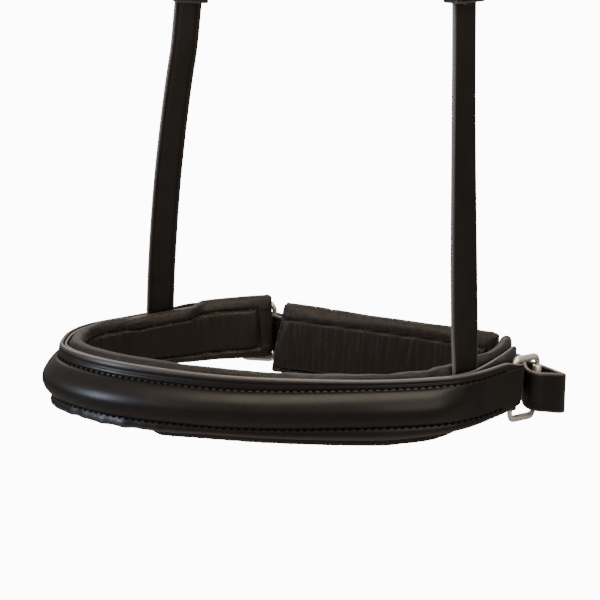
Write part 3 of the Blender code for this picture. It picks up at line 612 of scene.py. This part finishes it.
def puff(piece):
    # Remeshes the pad, lets cloth under pressure fill it, and caps how far any point may go.
    remesh = piece.modifiers.new("Even", "REMESH")
    remesh.mode = "VOXEL"
    remesh.voxel_size = padding["voxel"] * mm
    applyStack(piece)
    start = [v.co.copy() for v in piece.data.vertices]
    cloth = piece.modifiers.new("Cloth", "CLOTH")
    cloth.settings.quality = 4
    cloth.settings.mass = padding["mass"]
    cloth.settings.tension_stiffness = padding["stretchStiff"]
    cloth.settings.compression_stiffness = padding["stretchStiff"]
    cloth.settings.bending_stiffness = padding["bendStiff"]
    cloth.settings.use_pressure = True
    cloth.settings.uniform_pressure_force = padding["pressure"]
    cloth.settings.effector_weights.gravity = 0
    cloth.collision_settings.use_collision = False
    for number in range(1, padding["frames"] + 1):
        bpy.context.scene.frame_set(number)
    evaluated = piece.evaluated_get(bpy.context.evaluated_depsgraph_get())
    swollen = [v.co.copy() for v in evaluated.data.vertices]
    piece.modifiers.clear()
    most = padding["most"] * mm
    for vertex, first, last in zip(piece.data.vertices, start, swollen):
        move = last - first
        vertex.co = first + move * min(1, most / move.length if move.length else 1)
    bpy.context.scene.frame_set(1)
    subdivide(piece, 1)
    applyStack(piece)


def sewChannels(piece, rim, out, run, faceAt, tops, bottoms, downs, pad):
    # Presses the sewn lines into a pad's inner face and puckers the leather along them.
    depth, lines, ends = pad["depth"], pad["rolls"], pad["ends"]
    tree = kdtree.KDTree(len(rim))
    for i, point in enumerate(rim):
        tree.insert((point - hang) * mm, i)
    tree.balance()
    length = run[-1]
    for vertex in piece.data.vertices:
        world = vertex.co / mm + hang
        i = tree.find(vertex.co + (downs[len(rim) // 2] * -0.5 * (bottoms[0] + tops[0])) * mm)[1]
        offset = world - rim[i]
        v = offset.dot(downs[i])
        d = (faceAt(i, v) - rim[i]).dot(out[i]) - offset.dot(out[i])
        inside = ease((d - depth * 0.45) / (depth * 0.3))
        if not inside:
            continue
        s = run[i] + offset.dot(alongAt(rim, i).normalized())
        between = s > ends[0] - 1 and length - s > ends[1] - 1
        press = 0
        for line in (tops[i] + lines[0], bottoms[i] - lines[1]):
            if between:
                press = max(press, math.exp(-((v - line) / padding["seamWidth"]) ** 2))
        if tops[i] + lines[0] < v < bottoms[i] - lines[1]:
            for away in (s - ends[0], length - s - ends[1]):
                press = max(press, math.exp(-(away / padding["seamWidth"]) ** 2))
        pucker = noise.noise(Vector((s / 2.1, v / 14, 3.3)))
        pucker += 0.5 * noise.noise(Vector((s / 5.5, v / 9, 8.1)))
        field = ease((v - tops[i] - lines[0]) / 2) * ease((bottoms[i] - lines[1] - v) / 2)
        soft = pad["wrinkle"] * pucker * (0.35 + 0.65 * field)
        sunk = padding["seamDepth"] * press + 0.5 * field * ease((s - ends[0]) / 3)
        vertex.co += out[i] * ((sunk - soft) * inside) * mm


def strapPocket(point):
    extra = 0
    for foot in (cheeks["right"]["near"], cheeks["left"]["near"]):
        away = math.hypot(point.x - foot[0], point.y - foot[1])
        extra += (cheeks["thick"] + nose["gap"] + 2 * cheeks["bowOut"]) * ease((26 - away) / 10)
    return extra


def makeNosePad():
    pad = nosePadding
    rim, out, run = innerRim(3)
    deep = nose["front"] + nose["backing"] + 2 * nose["gap"]
    rings = []
    tops = []
    bottoms = []
    pocket = [strapPocket(point) for point in rim]

    def faceAt(i, v):   # the pad's outer face at level v, let in for the strap ends above their sewing
        shift = deep + pocket[i] * (1 - ease((v - 20) / 10))
        return rim[i] + out[i] * (flare(rim[i], v) - shift) - Vector((0, 0, v))

    for i, (point, normal) in enumerate(zip(rim, out)):
        front = ease((point.x + 84) / 8) * ease((112 - point.x) / 50) * ease((70 - point.y) / 40)
        top = -pad["above"] - pad["farAbove"] * ease((point.y - 104) / 20)
        top += pad["uneven"] * noise.noise(Vector((point.x / 13, point.y / 13, 0)))
        bottom = nose["width"] + nose["deeper"] - endTaper(point) + pad["below"] + pad["drop"] * front
        bottom += pad["farBelow"] * ease((point.y - 118) / 10) - pad["farLift"] * ease((point.y - 80) / 25)
        tops.append(top)
        bottoms.append(bottom)
        rings.append([faceAt(i, v) - normal * d for d, v in padSection(top, bottom, pad["depth"])])
    stretch = (rim[-1] - rim[-2]).normalized() * pad["farStretch"]
    rings[-1] = [p + stretch for p in rings[-1]]
    piece = loft("nosePad", rings, softLeather, smoothing=0)
    puff(piece)
    downs = [Vector((0, 0, -1))] * len(rim)
    sewChannels(piece, rim, out, run, faceAt, tops, bottoms, downs, pad)
    put(piece, "noseband", "pad_leather", "nose_pad_cover", "nose_pad_foam")
    sewPad("nosePad", out, faceAt, tops, bottoms, pad)
    print("nose pad puffed and sewn")


def sewPad(prefix, out, faceAt, tops, bottoms, pad):
    # The thread in a pad's two long channels.
    inner = slice(2, -2)
    inward = [-n for n in out][inner]
    for name, edges, share in (("Upper", tops, pad["rolls"][0]), ("Lower", bottoms, -pad["rolls"][1])):
        row = [faceAt(i, edges[i] + share) - out[i] * (pad["depth"] - 1.55) for i in range(len(out))]
        piece = stitches(prefix + name + "Stitching", row[inner], inward, radius=0.3, length=2.6)
        put(piece, "noseband", "pad_leather")


# Cheek straps, crown strap and buckles

cheeks = {"thick": 2.8, "width": 16, "tail": 22, "bowOut": 1.3, "straight": 62, "crease": 2.3,
          "bendAbove": 38, "bendBelow": 2, "keepersAt": (-18, -33.5), "spareHoles": (-12, 28, 48),
          "right": {"near": (90.2, 14.6, 0), "bar": (81.2, 26, 228), "turn": 42, "bow": -0.4, "spring": 0.36,
                    "aside": 2.0},
          "left": {"near": (-80.3, 115.7, 4), "bar": (-56.3, 107, 218), "turn": 207, "bow": -2.6, "spring": 0,
                   "aside": 0}}
buckleSizes = {"bar": 1.5, "prong": 1.1, "length": 20, "keeperWall": 1.5, "keeperHigh": 9, "hole": 2.2,
               "slot": (3.2, 12, 13), "play": 0.35, "foldBack": {"right": 4.5, "left": 4.5, "crank": 3.0}}


def frameMatrix(xAxis, yAxis, zAxis, origin):
    made = Matrix((xAxis, yAxis, zAxis)).transposed().to_4x4()
    made.translation = origin
    return made


def axis(matrix, number):
    return matrix.to_3x3().col[number].normalized()


def foldLine(mainFrom, innerTo, thickness):
    # A strap folded round a buckle's heel bar, as (out, up) in the buckle's own frame.
    around = buckleSizes["bar"] + nose["gap"] + thickness / 2
    line = [(0, mainFrom), (0, -13)]
    line += [(around * ease(t), -13 + 11 * t) for t in (0.25, 0.5, 0.75)]
    line += [(around * math.cos(math.pi * k / 8), around * math.sin(math.pi * k / 8)) for k in range(9)]
    inner = -(thickness + nose["gap"])
    line += [(-around + (inner + around) * ease(t), -2 - 11 * t) for t in (0.3, 0.65, 1.0)]
    line.append((inner, innerTo))
    return line


def billetLine(tip, upTo, lift, thickness):
    # A billet through the buckle, from its tip over the heel bar and under the front bar.
    gap = nose["gap"]
    over = buckleSizes["bar"] + 2 * gap + lift + thickness / 2
    under = buckleSizes["bar"] + 1.5 * gap + thickness / 2
    flat = lift / 2 + gap + thickness / 2
    knots = [(flat, tip), (flat, -15), (flat + (over - flat) * 0.5, -8.5), (over, -2.5), (over * 0.93, 3),
             (over * 0.5, 8.5), (-under * 0.35, 13.5), (-under, 18.5), (-under * 1.02, 22.5),
             (-under * 0.6, 31), (0, 44), (0, upTo)]
    return [(p.x, p.y) for p in smoothRoute([(y, z, 0) for y, z in knots], 2.2)]


def inFrame(matrix, line):
    return [matrix @ Vector((0, y, z)) for y, z in line]


def roundedBox(halfX, halfY, corner, steps):
    points = []
    for k, (sx, sy) in enumerate(((1, 1), (-1, 1), (-1, -1), (1, -1))):
        for i in range(steps + 1):
            angle = math.pi / 2 * (k + i / steps)
            points.append((sx * (halfX - corner) + corner * math.cos(angle),
                           sy * (halfY - corner) + corner * math.sin(angle)))
    return points


def makeKeeper(name, matrix, halfWidth, low, high, centre, body, node):
    # A leather loop: a strip 9 mm wide bent round the strap, creased along both edges.
    wall = buckleSizes["keeperWall"]
    tall = buckleSizes["keeperHigh"] / 2
    middle = (low + high) / 2
    section = [(0.1, -tall + 0.5), (0, -tall * 0.5), (0, tall * 0.5), (0.1, tall - 0.5), (wall * 0.5, tall),
               (wall - 0.1, tall - 0.5), (wall, tall - 1.3), (wall - 0.25, tall - 1.7), (wall, tall - 2.1),
               (wall + 0.05, 0), (wall, -tall + 2.1), (wall - 0.25, -tall + 1.7), (wall, -tall + 1.3),
               (wall - 0.1, -tall + 0.5), (wall * 0.5, -tall)]
    # The two long edges take the lighter edge colour: partly worn cut edge, partly painted highlight.
    wearAndSheen = [0.5, 0, 0, 0.5, 1, 0.5, 0, 0, 0, 0, 0, 0, 0, 0.5, 1]
    rings = []
    inner = roundedBox(halfWidth, (high - low) / 2, 0.9, 3)
    for i, (x, y) in enumerate(inner):
        corner, step = divmod(i, 4)
        angle = math.pi / 2 * (corner + step / 3)
        away = Vector((math.cos(angle), math.sin(angle), 0))
        rings.append([matrix @ (Vector((x, y + middle, centre + z)) + away * d) for d, z in section])
    put(loft(name, rings, leather, wearAndSheen, closed=True, smoothing=2), body, "bridle_leather", node)


def makeBuckle(prefix, matrix, strapWidth, low, high, over, fixedAt, sliderAt, bodies):
    # Frame, prong and the two keepers, round the heel bar at the frame's zero.
    bar = buckleSizes["bar"]
    half = strapWidth / 2 + 1 + bar
    outline = roundedBox(half, buckleSizes["length"] / 2, 3, 8)
    ring = [matrix @ Vector((x, 0, z + buckleSizes["length"] / 2)) for x, z in outline]
    buckle = tube(prefix + "BuckleFrame", ring, bar, cyclic=True)
    put(buckle, bodies[0], "polished_steel", prefix + "_buckle_frame")
    around = bar + buckleSizes["play"] + buckleSizes["prong"]
    turns = [math.radians(-50 - 215 * k / 14) for k in range(15)]
    line = [(around * math.cos(a), around * math.sin(a)) for a in turns]
    rise = ((0.1, 4.4), (0.26, 6.2), (0.5, 8.5), (0.71, 11), (0.77, 13.5), (0.69, 16))
    line += [(over * t, z) for t, z in rise] + [(3.6, 18.6), (3.0, 20.5), (2.7, 22.0), (2.62, 22.5)]
    radii = [1.0] * len(turns) + [1, 0.97, 0.94, 0.91, 0.88, 0.86, 0.83, 0.8, 0.7, 0.4]
    prong = tube(prefix + "Prong", inFrame(matrix, line), buckleSizes["prong"], radii=radii)
    put(prong, bodies[1], "polished_steel", prefix + "_prong")
    inner = -buckleSizes["foldBack"][prefix]
    for row, side in (("Left", -1), ("Right", 1)):
        seam = [matrix @ Vector((side * (strapWidth / 2 - 2.4), inner, z)) for z in range(-38, -9, 2)]
        facing = [-axis(matrix, 1)] * len(seam)
        threads = stitches(prefix + row + "FoldStitching", seam, facing, pitch=3.4, length=2.3, radius=0.38)
        put(threads, bodies[0], "bridle_leather")
    wide = strapWidth / 2 + 0.5
    for kind, at, body in (("Fixed", fixedAt, bodies[0]), ("Sliding", sliderAt, bodies[2])):
        makeKeeper(prefix + kind + "Keeper", matrix, wide, low, high, at, body,
                   prefix + "_" + kind.lower() + "_keeper")


def cutOut(piece, bm):
    cutter = finishMesh("cutter", bm, leather)
    cut = piece.modifiers.new("Cut", "BOOLEAN")
    cut.operation = "DIFFERENCE"
    cut.solver = "EXACT"
    cut.object = cutter
    applyStack(piece)
    bpy.data.objects.remove(cutter)


def punch(piece, matrix, over, places):
    # The prong's oval hole and the round spare holes, cut clean through.
    bm = bmesh.new()
    lean = matrix @ Matrix.Translation((0, over * 0.5, 8.5)) @ Matrix.Rotation(math.radians(-37), 4, "X")
    quarter = Matrix.Rotation(math.pi / 2, 4, "X")
    spots = [(lean, 1.5)] + [(matrix @ Matrix.Translation((0, 0, z)) @ quarter, 1.0) for z in places]
    wide = buckleSizes["hole"]
    for spot, stretch in spots:
        made = bmesh.ops.create_cone(bm, cap_ends=True, segments=20, radius1=wide, radius2=wide, depth=12)
        for vertex in made["verts"]:
            vertex.co.y *= stretch
            vertex.co = (spot @ vertex.co - hang) * mm
    cutOut(piece, bm)


def strapFoot(near):
    rim, out, run = innerRim(1)
    i = min(range(1, len(rim) - 1), key=lambda k: (rim[k].xy - Vector(near).xy).length)
    along = rim[i + 1] - rim[i - 1]
    lie = nose["front"] + nose["backing"] + 2 * nose["gap"] + cheeks["thick"] / 2 + cheeks["bowOut"]
    return rim[i] - out[i] * lie, Vector((along.x, along.y, 0)).normalized()


def buckleMatrix(foot, bar, turn):
    along = (bar - foot).normalized()
    face = Vector((math.sin(turn), -math.cos(turn), 0))
    across = face.cross(along).normalized()
    return frameMatrix(across, along.cross(across), along, bar)


def makeCheek(side, foot, alongRim, matrix):
    # One cheek strap: sewn in behind the backing, up to its buckle, and folded round the heel bar.
    top = axis(matrix, 0)
    bottom = alongRim if alongRim.dot(top) > 0 else -alongRim
    fold = inFrame(matrix, foldLine(-cheeks["straight"], -36, cheeks["thick"]))
    lower = [foot - Vector((0, 0, cheeks["tail"])), foot - Vector((0, 0, cheeks["tail"] / 2)), foot]
    upper = fold[0]
    for share in (0.2, 0.5, 0.8):
        lower.append(foot.lerp(upper, share) + Vector((cheeks[side]["bow"] * 4 * share * (1 - share), 0, 0)))
    lower.append(upper)
    run = smoothRoute(lower, 5)
    acrosses = []
    level = Vector((math.copysign(1, bottom.x), 0, 0))
    for p in run:   # a sewn-in strap springs towards the front as soon as it is clear of the noseband
        share = (p.z - foot.z) / (upper.z - foot.z)
        spring = cheeks[side]["spring"] * (0.6 + 0.4 * ease(p.z / 20)) * (1 - ease(share * 1.1 - 0.1))
        acrosses.append(bottom.lerp(top, ease(share)).lerp(level, spring).normalized())
    straight = evenly([fold[0], fold[1]], 8)
    last = evenly([fold[-2], fold[-1]], 6)
    centres = run + straight[1:] + fold[2:-1] + last[1:]
    acrosses += [top] * (len(centres) - len(run))
    piece = strap(side + "Cheek", centres, acrosses, cheeks["width"], cheeks["thick"], cheeks["crease"])
    applyStack(piece)
    slot = bmesh.new()
    bmesh.ops.create_cube(slot, size=1)
    for vertex in slot.verts:
        vertex.co = vertex.co * Vector(buckleSizes["slot"]) + Vector((0, 0, 1.5))
        vertex.co = (matrix @ vertex.co - hang) * mm
    cutOut(piece, slot)
    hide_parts(side + "_cheek")
    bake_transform(piece)


def makeHeadstrap():
    thick = cheeks["thick"]
    low = -(thick + nose["gap"]) - thick / 2 - buckleSizes["play"]
    high = thick / 2 + nose["gap"] + thick + buckleSizes["play"]
    over = buckleSizes["bar"] + 2 * nose["gap"] + thick * 1.5
    matrices = {}
    for side in ("right", "left"):
        facts = cheeks[side]
        foot, alongRim = strapFoot(facts["near"])
        matrix = buckleMatrix(foot, Vector(facts["bar"]), math.radians(facts["turn"]))
        foot -= alongRim * facts["aside"]
        matrices[side] = matrix
        makeCheek(side, foot, alongRim, matrix)
        makeBuckle(side, matrix, cheeks["width"], low, high, over, *cheeks["keepersAt"],
                   ("headstrap", side + "_prong", side + "_slider"))
    makeCrown(matrices["right"], matrices["left"], over)
    print("cheek straps, crown and buckles made")


def makeCrown(right, left, over):
    line = billetLine(-39, 130, cheeks["thick"], cheeks["thick"])
    rightBillet = inFrame(right, line)
    leftBillet = inFrame(left, line)
    rightTop, leftTop = rightBillet[-1], leftBillet[-1]
    crownTop = hang + Vector((0, 0, cheeks["thick"] / 2))
    chord = leftTop - rightTop

    def shoulder(start, share, rise, sign):
        return start + chord * (share * sign) + Vector((0, 0, (crownTop.z - start.z) * rise))

    arch = smoothRoute([rightBillet[-2], rightTop, shoulder(rightTop, 0.06, 0.52, 1),
                        shoulder(rightTop, 0.17, 0.84, 1), crownTop, shoulder(leftTop, 0.17, 0.84, -1),
                        shoulder(leftTop, 0.06, 0.52, -1), leftTop, leftBillet[-2]], 5)
    inner = [p for p in arch if p.z > max(rightTop.z, leftTop.z) + 1]
    centres = rightBillet + inner + list(reversed(leftBillet))
    rightAcross = axis(right, 0)
    leftAcross = -axis(left, 0)
    acrosses = [rightAcross.lerp(leftAcross, ease((i - len(rightBillet)) / (len(inner) - 1))).normalized()
                for i in range(len(centres))]
    piece = strap("crownStrap", centres, acrosses, cheeks["width"], cheeks["thick"], cheeks["crease"],
                  tipRun=12, tips=(True, True))
    applyStack(piece)
    for matrix in (right, left):
        punch(piece, matrix, over, cheeks["spareHoles"])
    put(piece, "headstrap", "bridle_leather", "crown_strap")


# Rings, chin pad and chin strap

rings = {"wire": 1.4, "length": 20, "half": 16.5, "corner": 4, "roller": 2.5, "bore": 1.75, "rollerLong": 23,
         "centre": 19.5, "chape": 1.8, "chapeWide": 22, "nearLean": 5, "farTurn": -12, "stout": 0.38}
chin = {"rim": [(-8, 120, 7.8), (18, 112.5, 6.6), (45, 104, 5.2), (70, 97, 3.6), (92, 89.5, 2),
                (111, 80.5, 0.8)],
        "padWide": 43.5, "backing": 2.0, "backingWide": 34, "strap": 2.6, "strapWide": 22,
        "route": [(119, 78, -20.2), (121.8, 69, -20), (121.9, 60, -20.2), (122.2, 52, -20.6),
                  (126.5, 47.6, -21.4), (134.3, 50.5, -23), (141, 56, -25.3), (144, 64, -27.6),
                  (141, 72.5, -28.4), (133, 81, -27.6), (121, 90, -25.6), (108, 97.2, -23.3)],
        "barRun": 62, "barOut": 12.1, "keepersAt": (-18, -32), "spareHoles": (-12, 29)}
chinPadding = {"depth": 8, "rolls": (7.4, 6), "ends": (-40, 5), "wrinkle": 0.4, "leanOut": 6.5, "higher": 2.0}


def atRun(rim, out, run, s):
    i = max(j for j in range(len(run) - 1) if run[j] <= s)
    share = (s - run[i]) / (run[i + 1] - run[i])
    return rim[i].lerp(rim[i + 1], share), out[i].lerp(out[i + 1], share).normalized()


def foldRound(matrix, radius, towards, out):
    outer = 1 if matrix.to_3x3().col[1].dot(out) > 0 else -1
    turns = [math.pi * k / 8 for k in range(9)]
    return [matrix @ Vector((towards * radius * math.sin(a), outer * radius * math.cos(a), 0)) for a in turns]


def makeRing(prefix, placeAt, along, lean, rim, out, run, fromEnd):
    # A flat-sided ring and the chape that sews it between the outer band and the backing.
    around = rings["wire"] + nose["gap"] + rings["chape"] / 2
    lie = nose["front"] + nose["gap"] + rings["chape"] / 2
    point, normal = atRun(rim, out, run, placeAt)
    bar = point - normal * (lie + around) - Vector((0, 0, rings["centre"]))
    side = Vector((-along.y, along.x, 0))
    xAxis = along * math.cos(lean) - Vector((0, 0, math.sin(lean)))
    matrix = frameMatrix(xAxis, side, xAxis.cross(side), bar)
    outline = roundedBox(rings["length"] / 2, rings["half"], rings["corner"], 8)
    wire = [matrix @ Vector((x + rings["length"] / 2, 0, z)) for x, z in outline]
    stout = [1 + rings["stout"] * ease((abs(z) - rings["half"] + 2) / 2) for x, z in outline]
    ring = tube(prefix + "Ring", wire, rings["wire"], cyclic=True, radii=stout)
    put(ring, "near_ring" if prefix == "near" else "noseband", "polished_steel", prefix + "_ring")
    down = Vector((0, 0, nose["width"] / 2 + 1))
    centres = []
    for share in (1.0, 0.7, 0.4):
        p, n = atRun(rim, out, run, placeAt + fromEnd * share)
        centres.append(p - n * lie - down)
    centres += foldRound(matrix, around, 1, normal)
    for share in (0.4, 0.7, 1.0):
        p, n = atRun(rim, out, run, placeAt + fromEnd * share)
        closing = 2 * around + (rings["chape"] + nose["gap"] - 2 * around) * ease(share * 1.1 - 0.1)
        centres.append(p - n * (lie + closing) - down)
    up = axis(matrix, 2)
    chape = strap(prefix + "RingChape", centres, [up] * len(centres), rings["chapeWide"], rings["chape"], 1.8)
    put(chape, "noseband", "bridle_leather", prefix + "_ring_chape")
    return matrix


def makeRoller(matrix):
    # A rolled steel tube turned by Screw, with eased ends, on the ring's free bar.
    half = rings["rollerLong"] / 2
    r, bore = rings["roller"], rings["bore"]
    profile = [(bore + 0.1, half), (r - 0.5, half), (r - 0.12, half - 0.25), (r, half - 0.7), (r, 0),
               (r, -half + 0.7), (r - 0.12, -half + 0.25), (r - 0.5, -half), (bore + 0.1, -half),
               (bore, -half + 0.3), (bore, half - 0.3)]
    mesh = bpy.data.meshes.new("nearRoller")
    mesh.from_pydata([(x * mm, 0, z * mm) for x, z in profile],
                     [(i, (i + 1) % len(profile)) for i in range(len(profile))], [])
    mesh.materials.append(steel)
    piece = linked("nearRoller", mesh)
    turn = piece.modifiers.new("Turn", "SCREW")
    turn.steps = 40
    turn.render_steps = 40
    turn.use_merge_vertices = True
    turn.merge_threshold = 0.00001
    turn.use_smooth_shade = True
    applyStack(piece)
    place = matrix @ Matrix.Translation((rings["length"], 0, 0))
    for vertex in piece.data.vertices:
        vertex.co = (place @ (vertex.co / mm) - hang) * mm
    put(piece, "near_roller", "polished_steel", "near_roller")


def makeRings():
    rim, out, run = outerRim(7)
    start = (rim[0] - rim[1]).normalized()
    near = makeRing("near", 0.5, Vector((start.x, start.y, 0)).normalized(), math.radians(rings["nearLean"]),
                    rim, out, run, 20)
    makeRoller(near)
    turn = math.radians(rings["farTurn"])
    return makeRing("far", run[-1] - nose["farShort"], Vector((math.cos(turn), math.sin(turn), 0)), 0,
                    rim, out, run, -21)


def makeChin(farRing):
    rim = smoothRoute(chin["rim"], 7)
    out = levelOut(rim)
    run = runOf(rim)
    along = (rim[-1] - rim[0]).normalized()
    square = out[len(out) // 2].cross(along).normalized()
    down = square if square.z < 0 else -square
    makeChinPad(down)
    middle = chin["padWide"] / 2
    picked = [i for i, s in enumerate(run) if 20 < s < run[-1] - 3]
    centres = [rim[i] + out[i] * (nose["gap"] + chin["backing"] / 2) + down * middle for i in picked]
    piece = strap("chinBacking", centres, [down] * len(centres), chin["backingWide"], chin["backing"], 2.4)
    put(piece, "noseband", "bridle_leather", "chin_backing")
    for row, side in (("Upper", -1), ("Lower", 1)):
        seam = [c + out[i] * (chin["backing"] / 2) + down * (side * (chin["backingWide"] / 2 - 2.6))
                for c, i in zip(centres, picked)]
        put(stitches("chinBacking" + row + "Stitching", seam, [out[i] for i in picked], radius=0.42),
            "noseband", "bridle_leather")

    thick = chin["strap"]
    gap = nose["gap"]
    around = rings["wire"] + gap + thick / 2
    bar = farRing @ Matrix.Translation((rings["length"], 0, 0))
    centres = []

    def behind(s, depth):
        p, n = atRun(rim, out, run, s)
        return p + n * depth + down * middle

    centres += [behind(17, gap + thick / 2), behind(9, gap + thick / 2)]
    centres += list(reversed(foldRound(bar, around, -1, out[0])))
    centres += [behind(9, gap * 2 + thick * 1.5), behind(17, gap * 2 + thick * 1.5)]
    firstTurn = len(centres)
    lie = 2 * gap + chin["backing"] + thick / 2
    route = [behind(s, lie) for s in (27, 40, 60, 80, 100, run[-1] - 8)] + [Vector(q) for q in chin["route"]]
    p, n = atRun(rim, out, run, chin["barRun"])
    alongHere = down.cross(n).normalized()
    alongHere = alongHere if alongHere.x > 0 else -alongHere
    crank = frameMatrix(n.cross(alongHere), n, alongHere, p + n * chin["barOut"] + down * middle)
    tongue = list(reversed(inFrame(crank, billetLine(-44, 47, rings["chape"], thick))))
    route.append(tongue[0])
    curve = smoothRoute(route, 3)
    centres += curve + tongue[1:]
    up = -down
    acrosses = []
    for i in range(len(centres)):
        if i < firstTurn:
            acrosses.append(farRing.to_3x3().col[2] if 2 <= i < firstTurn - 2 else up)
        else:
            t = (i - firstTurn) / len(curve)
            level = ease(t * 4 - 1.3) * (1 - ease(t * 5 - 3.9))
            acrosses.append(up.lerp(Vector((0, 0, 1)), min(1, max(0, level))).normalized())
    piece = strap("chinStrap", centres, acrosses, chin["strapWide"], thick, 3.0, tipRun=14,
                  tips=(False, True))
    applyStack(piece)
    over = buckleSizes["bar"] + 2 * gap + rings["chape"] + thick / 2
    punch(piece, crank, over, chin["spareHoles"])
    put(piece, "noseband", "bridle_leather", "chin_strap")

    fold = inFrame(crank, foldLine(-46, -40, rings["chape"]))
    across = axis(crank, 0)
    piece = strap("crankChape", fold, [across] * len(fold), chin["strapWide"], rings["chape"], 1.8)
    put(piece, "noseband", "bridle_leather", "crank_chape")
    low = -(rings["chape"] + gap) - rings["chape"] / 2 - buckleSizes["play"]
    high = rings["chape"] / 2 + gap + thick + buckleSizes["play"]
    makeBuckle("crank", crank, chin["strapWide"], low, high, over, *chin["keepersAt"],
               ("noseband", "crank_prong", "crank_slider"))
    print("rings, chin pad, chin strap and crank buckle made")


def makeChinPad(down):
    pad = chinPadding
    rim = smoothRoute(chin["rim"], 3)
    out = levelOut(rim)
    run = runOf(rim)
    section = padSection(0, chin["padWide"], pad["depth"])
    back = (rim[0] - rim[-1]).normalized()
    shapes = []
    for p, n, s in zip(rim, out, run):   # the end by the far ring leans out towards its lower corner
        shapes.append([p - n * d + down * v + back * (pad["leanOut"] * v / chin["padWide"] - 0.5)
                       * (1 - ease(s / 30)) - down * pad["higher"] for d, v in section])
    piece = loft("chinPad", shapes, softLeather, smoothing=0)
    puff(piece)
    tops = [0] * len(rim)
    bottoms = [chin["padWide"]] * len(rim)

    def faceAt(i, v):
        return rim[i] + down * v

    sewChannels(piece, rim, out, run, faceAt, tops, bottoms, [down] * len(rim), pad)
    put(piece, "noseband", "pad_leather", "chin_pad_cover", "chin_pad_foam")
    sewPad("chinPad", out, faceAt, tops, bottoms, pad)
    print("chin pad puffed and sewn")


def makeFloor():
    bm = bmesh.new()
    bmesh.ops.create_grid(bm, x_segments=2, y_segments=2, size=6)
    # A matt painted board, pale and even, with slightly uneven gloss.
    plain, tree, shader = newMaterial("paleFloor", studio["floor"], 0.85)
    place = addNode(tree, "ShaderNodeTexCoord"), "Object"
    speck = addNode(tree, "ShaderNodeTexNoise", {"Scale": 3.0}, Vector=place)
    roughen(tree, shader, 0.8, 0.9, (speck, "Fac"))
    seen = addNode(tree, "ShaderNodeLightPath")
    sweep = addNode(tree, "ShaderNodeEmission", {"Strength": studio["sweepStrength"]})
    mixShaders(tree, seen, shader, sweep, tree.nodes["Material Output"])
    floor = finishMesh("floor", bm, plain)
    for vertex in floor.data.vertices:
        vertex.co.z = cadBox[0][2] - studio["floorBelow"]


addCamera()
addLamps()
makeFloor()
print("camera, lamps and floor made")
makeNoseFront()
makeNoseBacking()
makeNosePad()
makeChin(makeRings())
makeHeadstrap()
for name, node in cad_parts.items():
    for materialSlot in node.material_slots:
        materialSlot.material = felt if name in ("nose_core", "nose_pad_foam", "chin_pad_foam") else leather
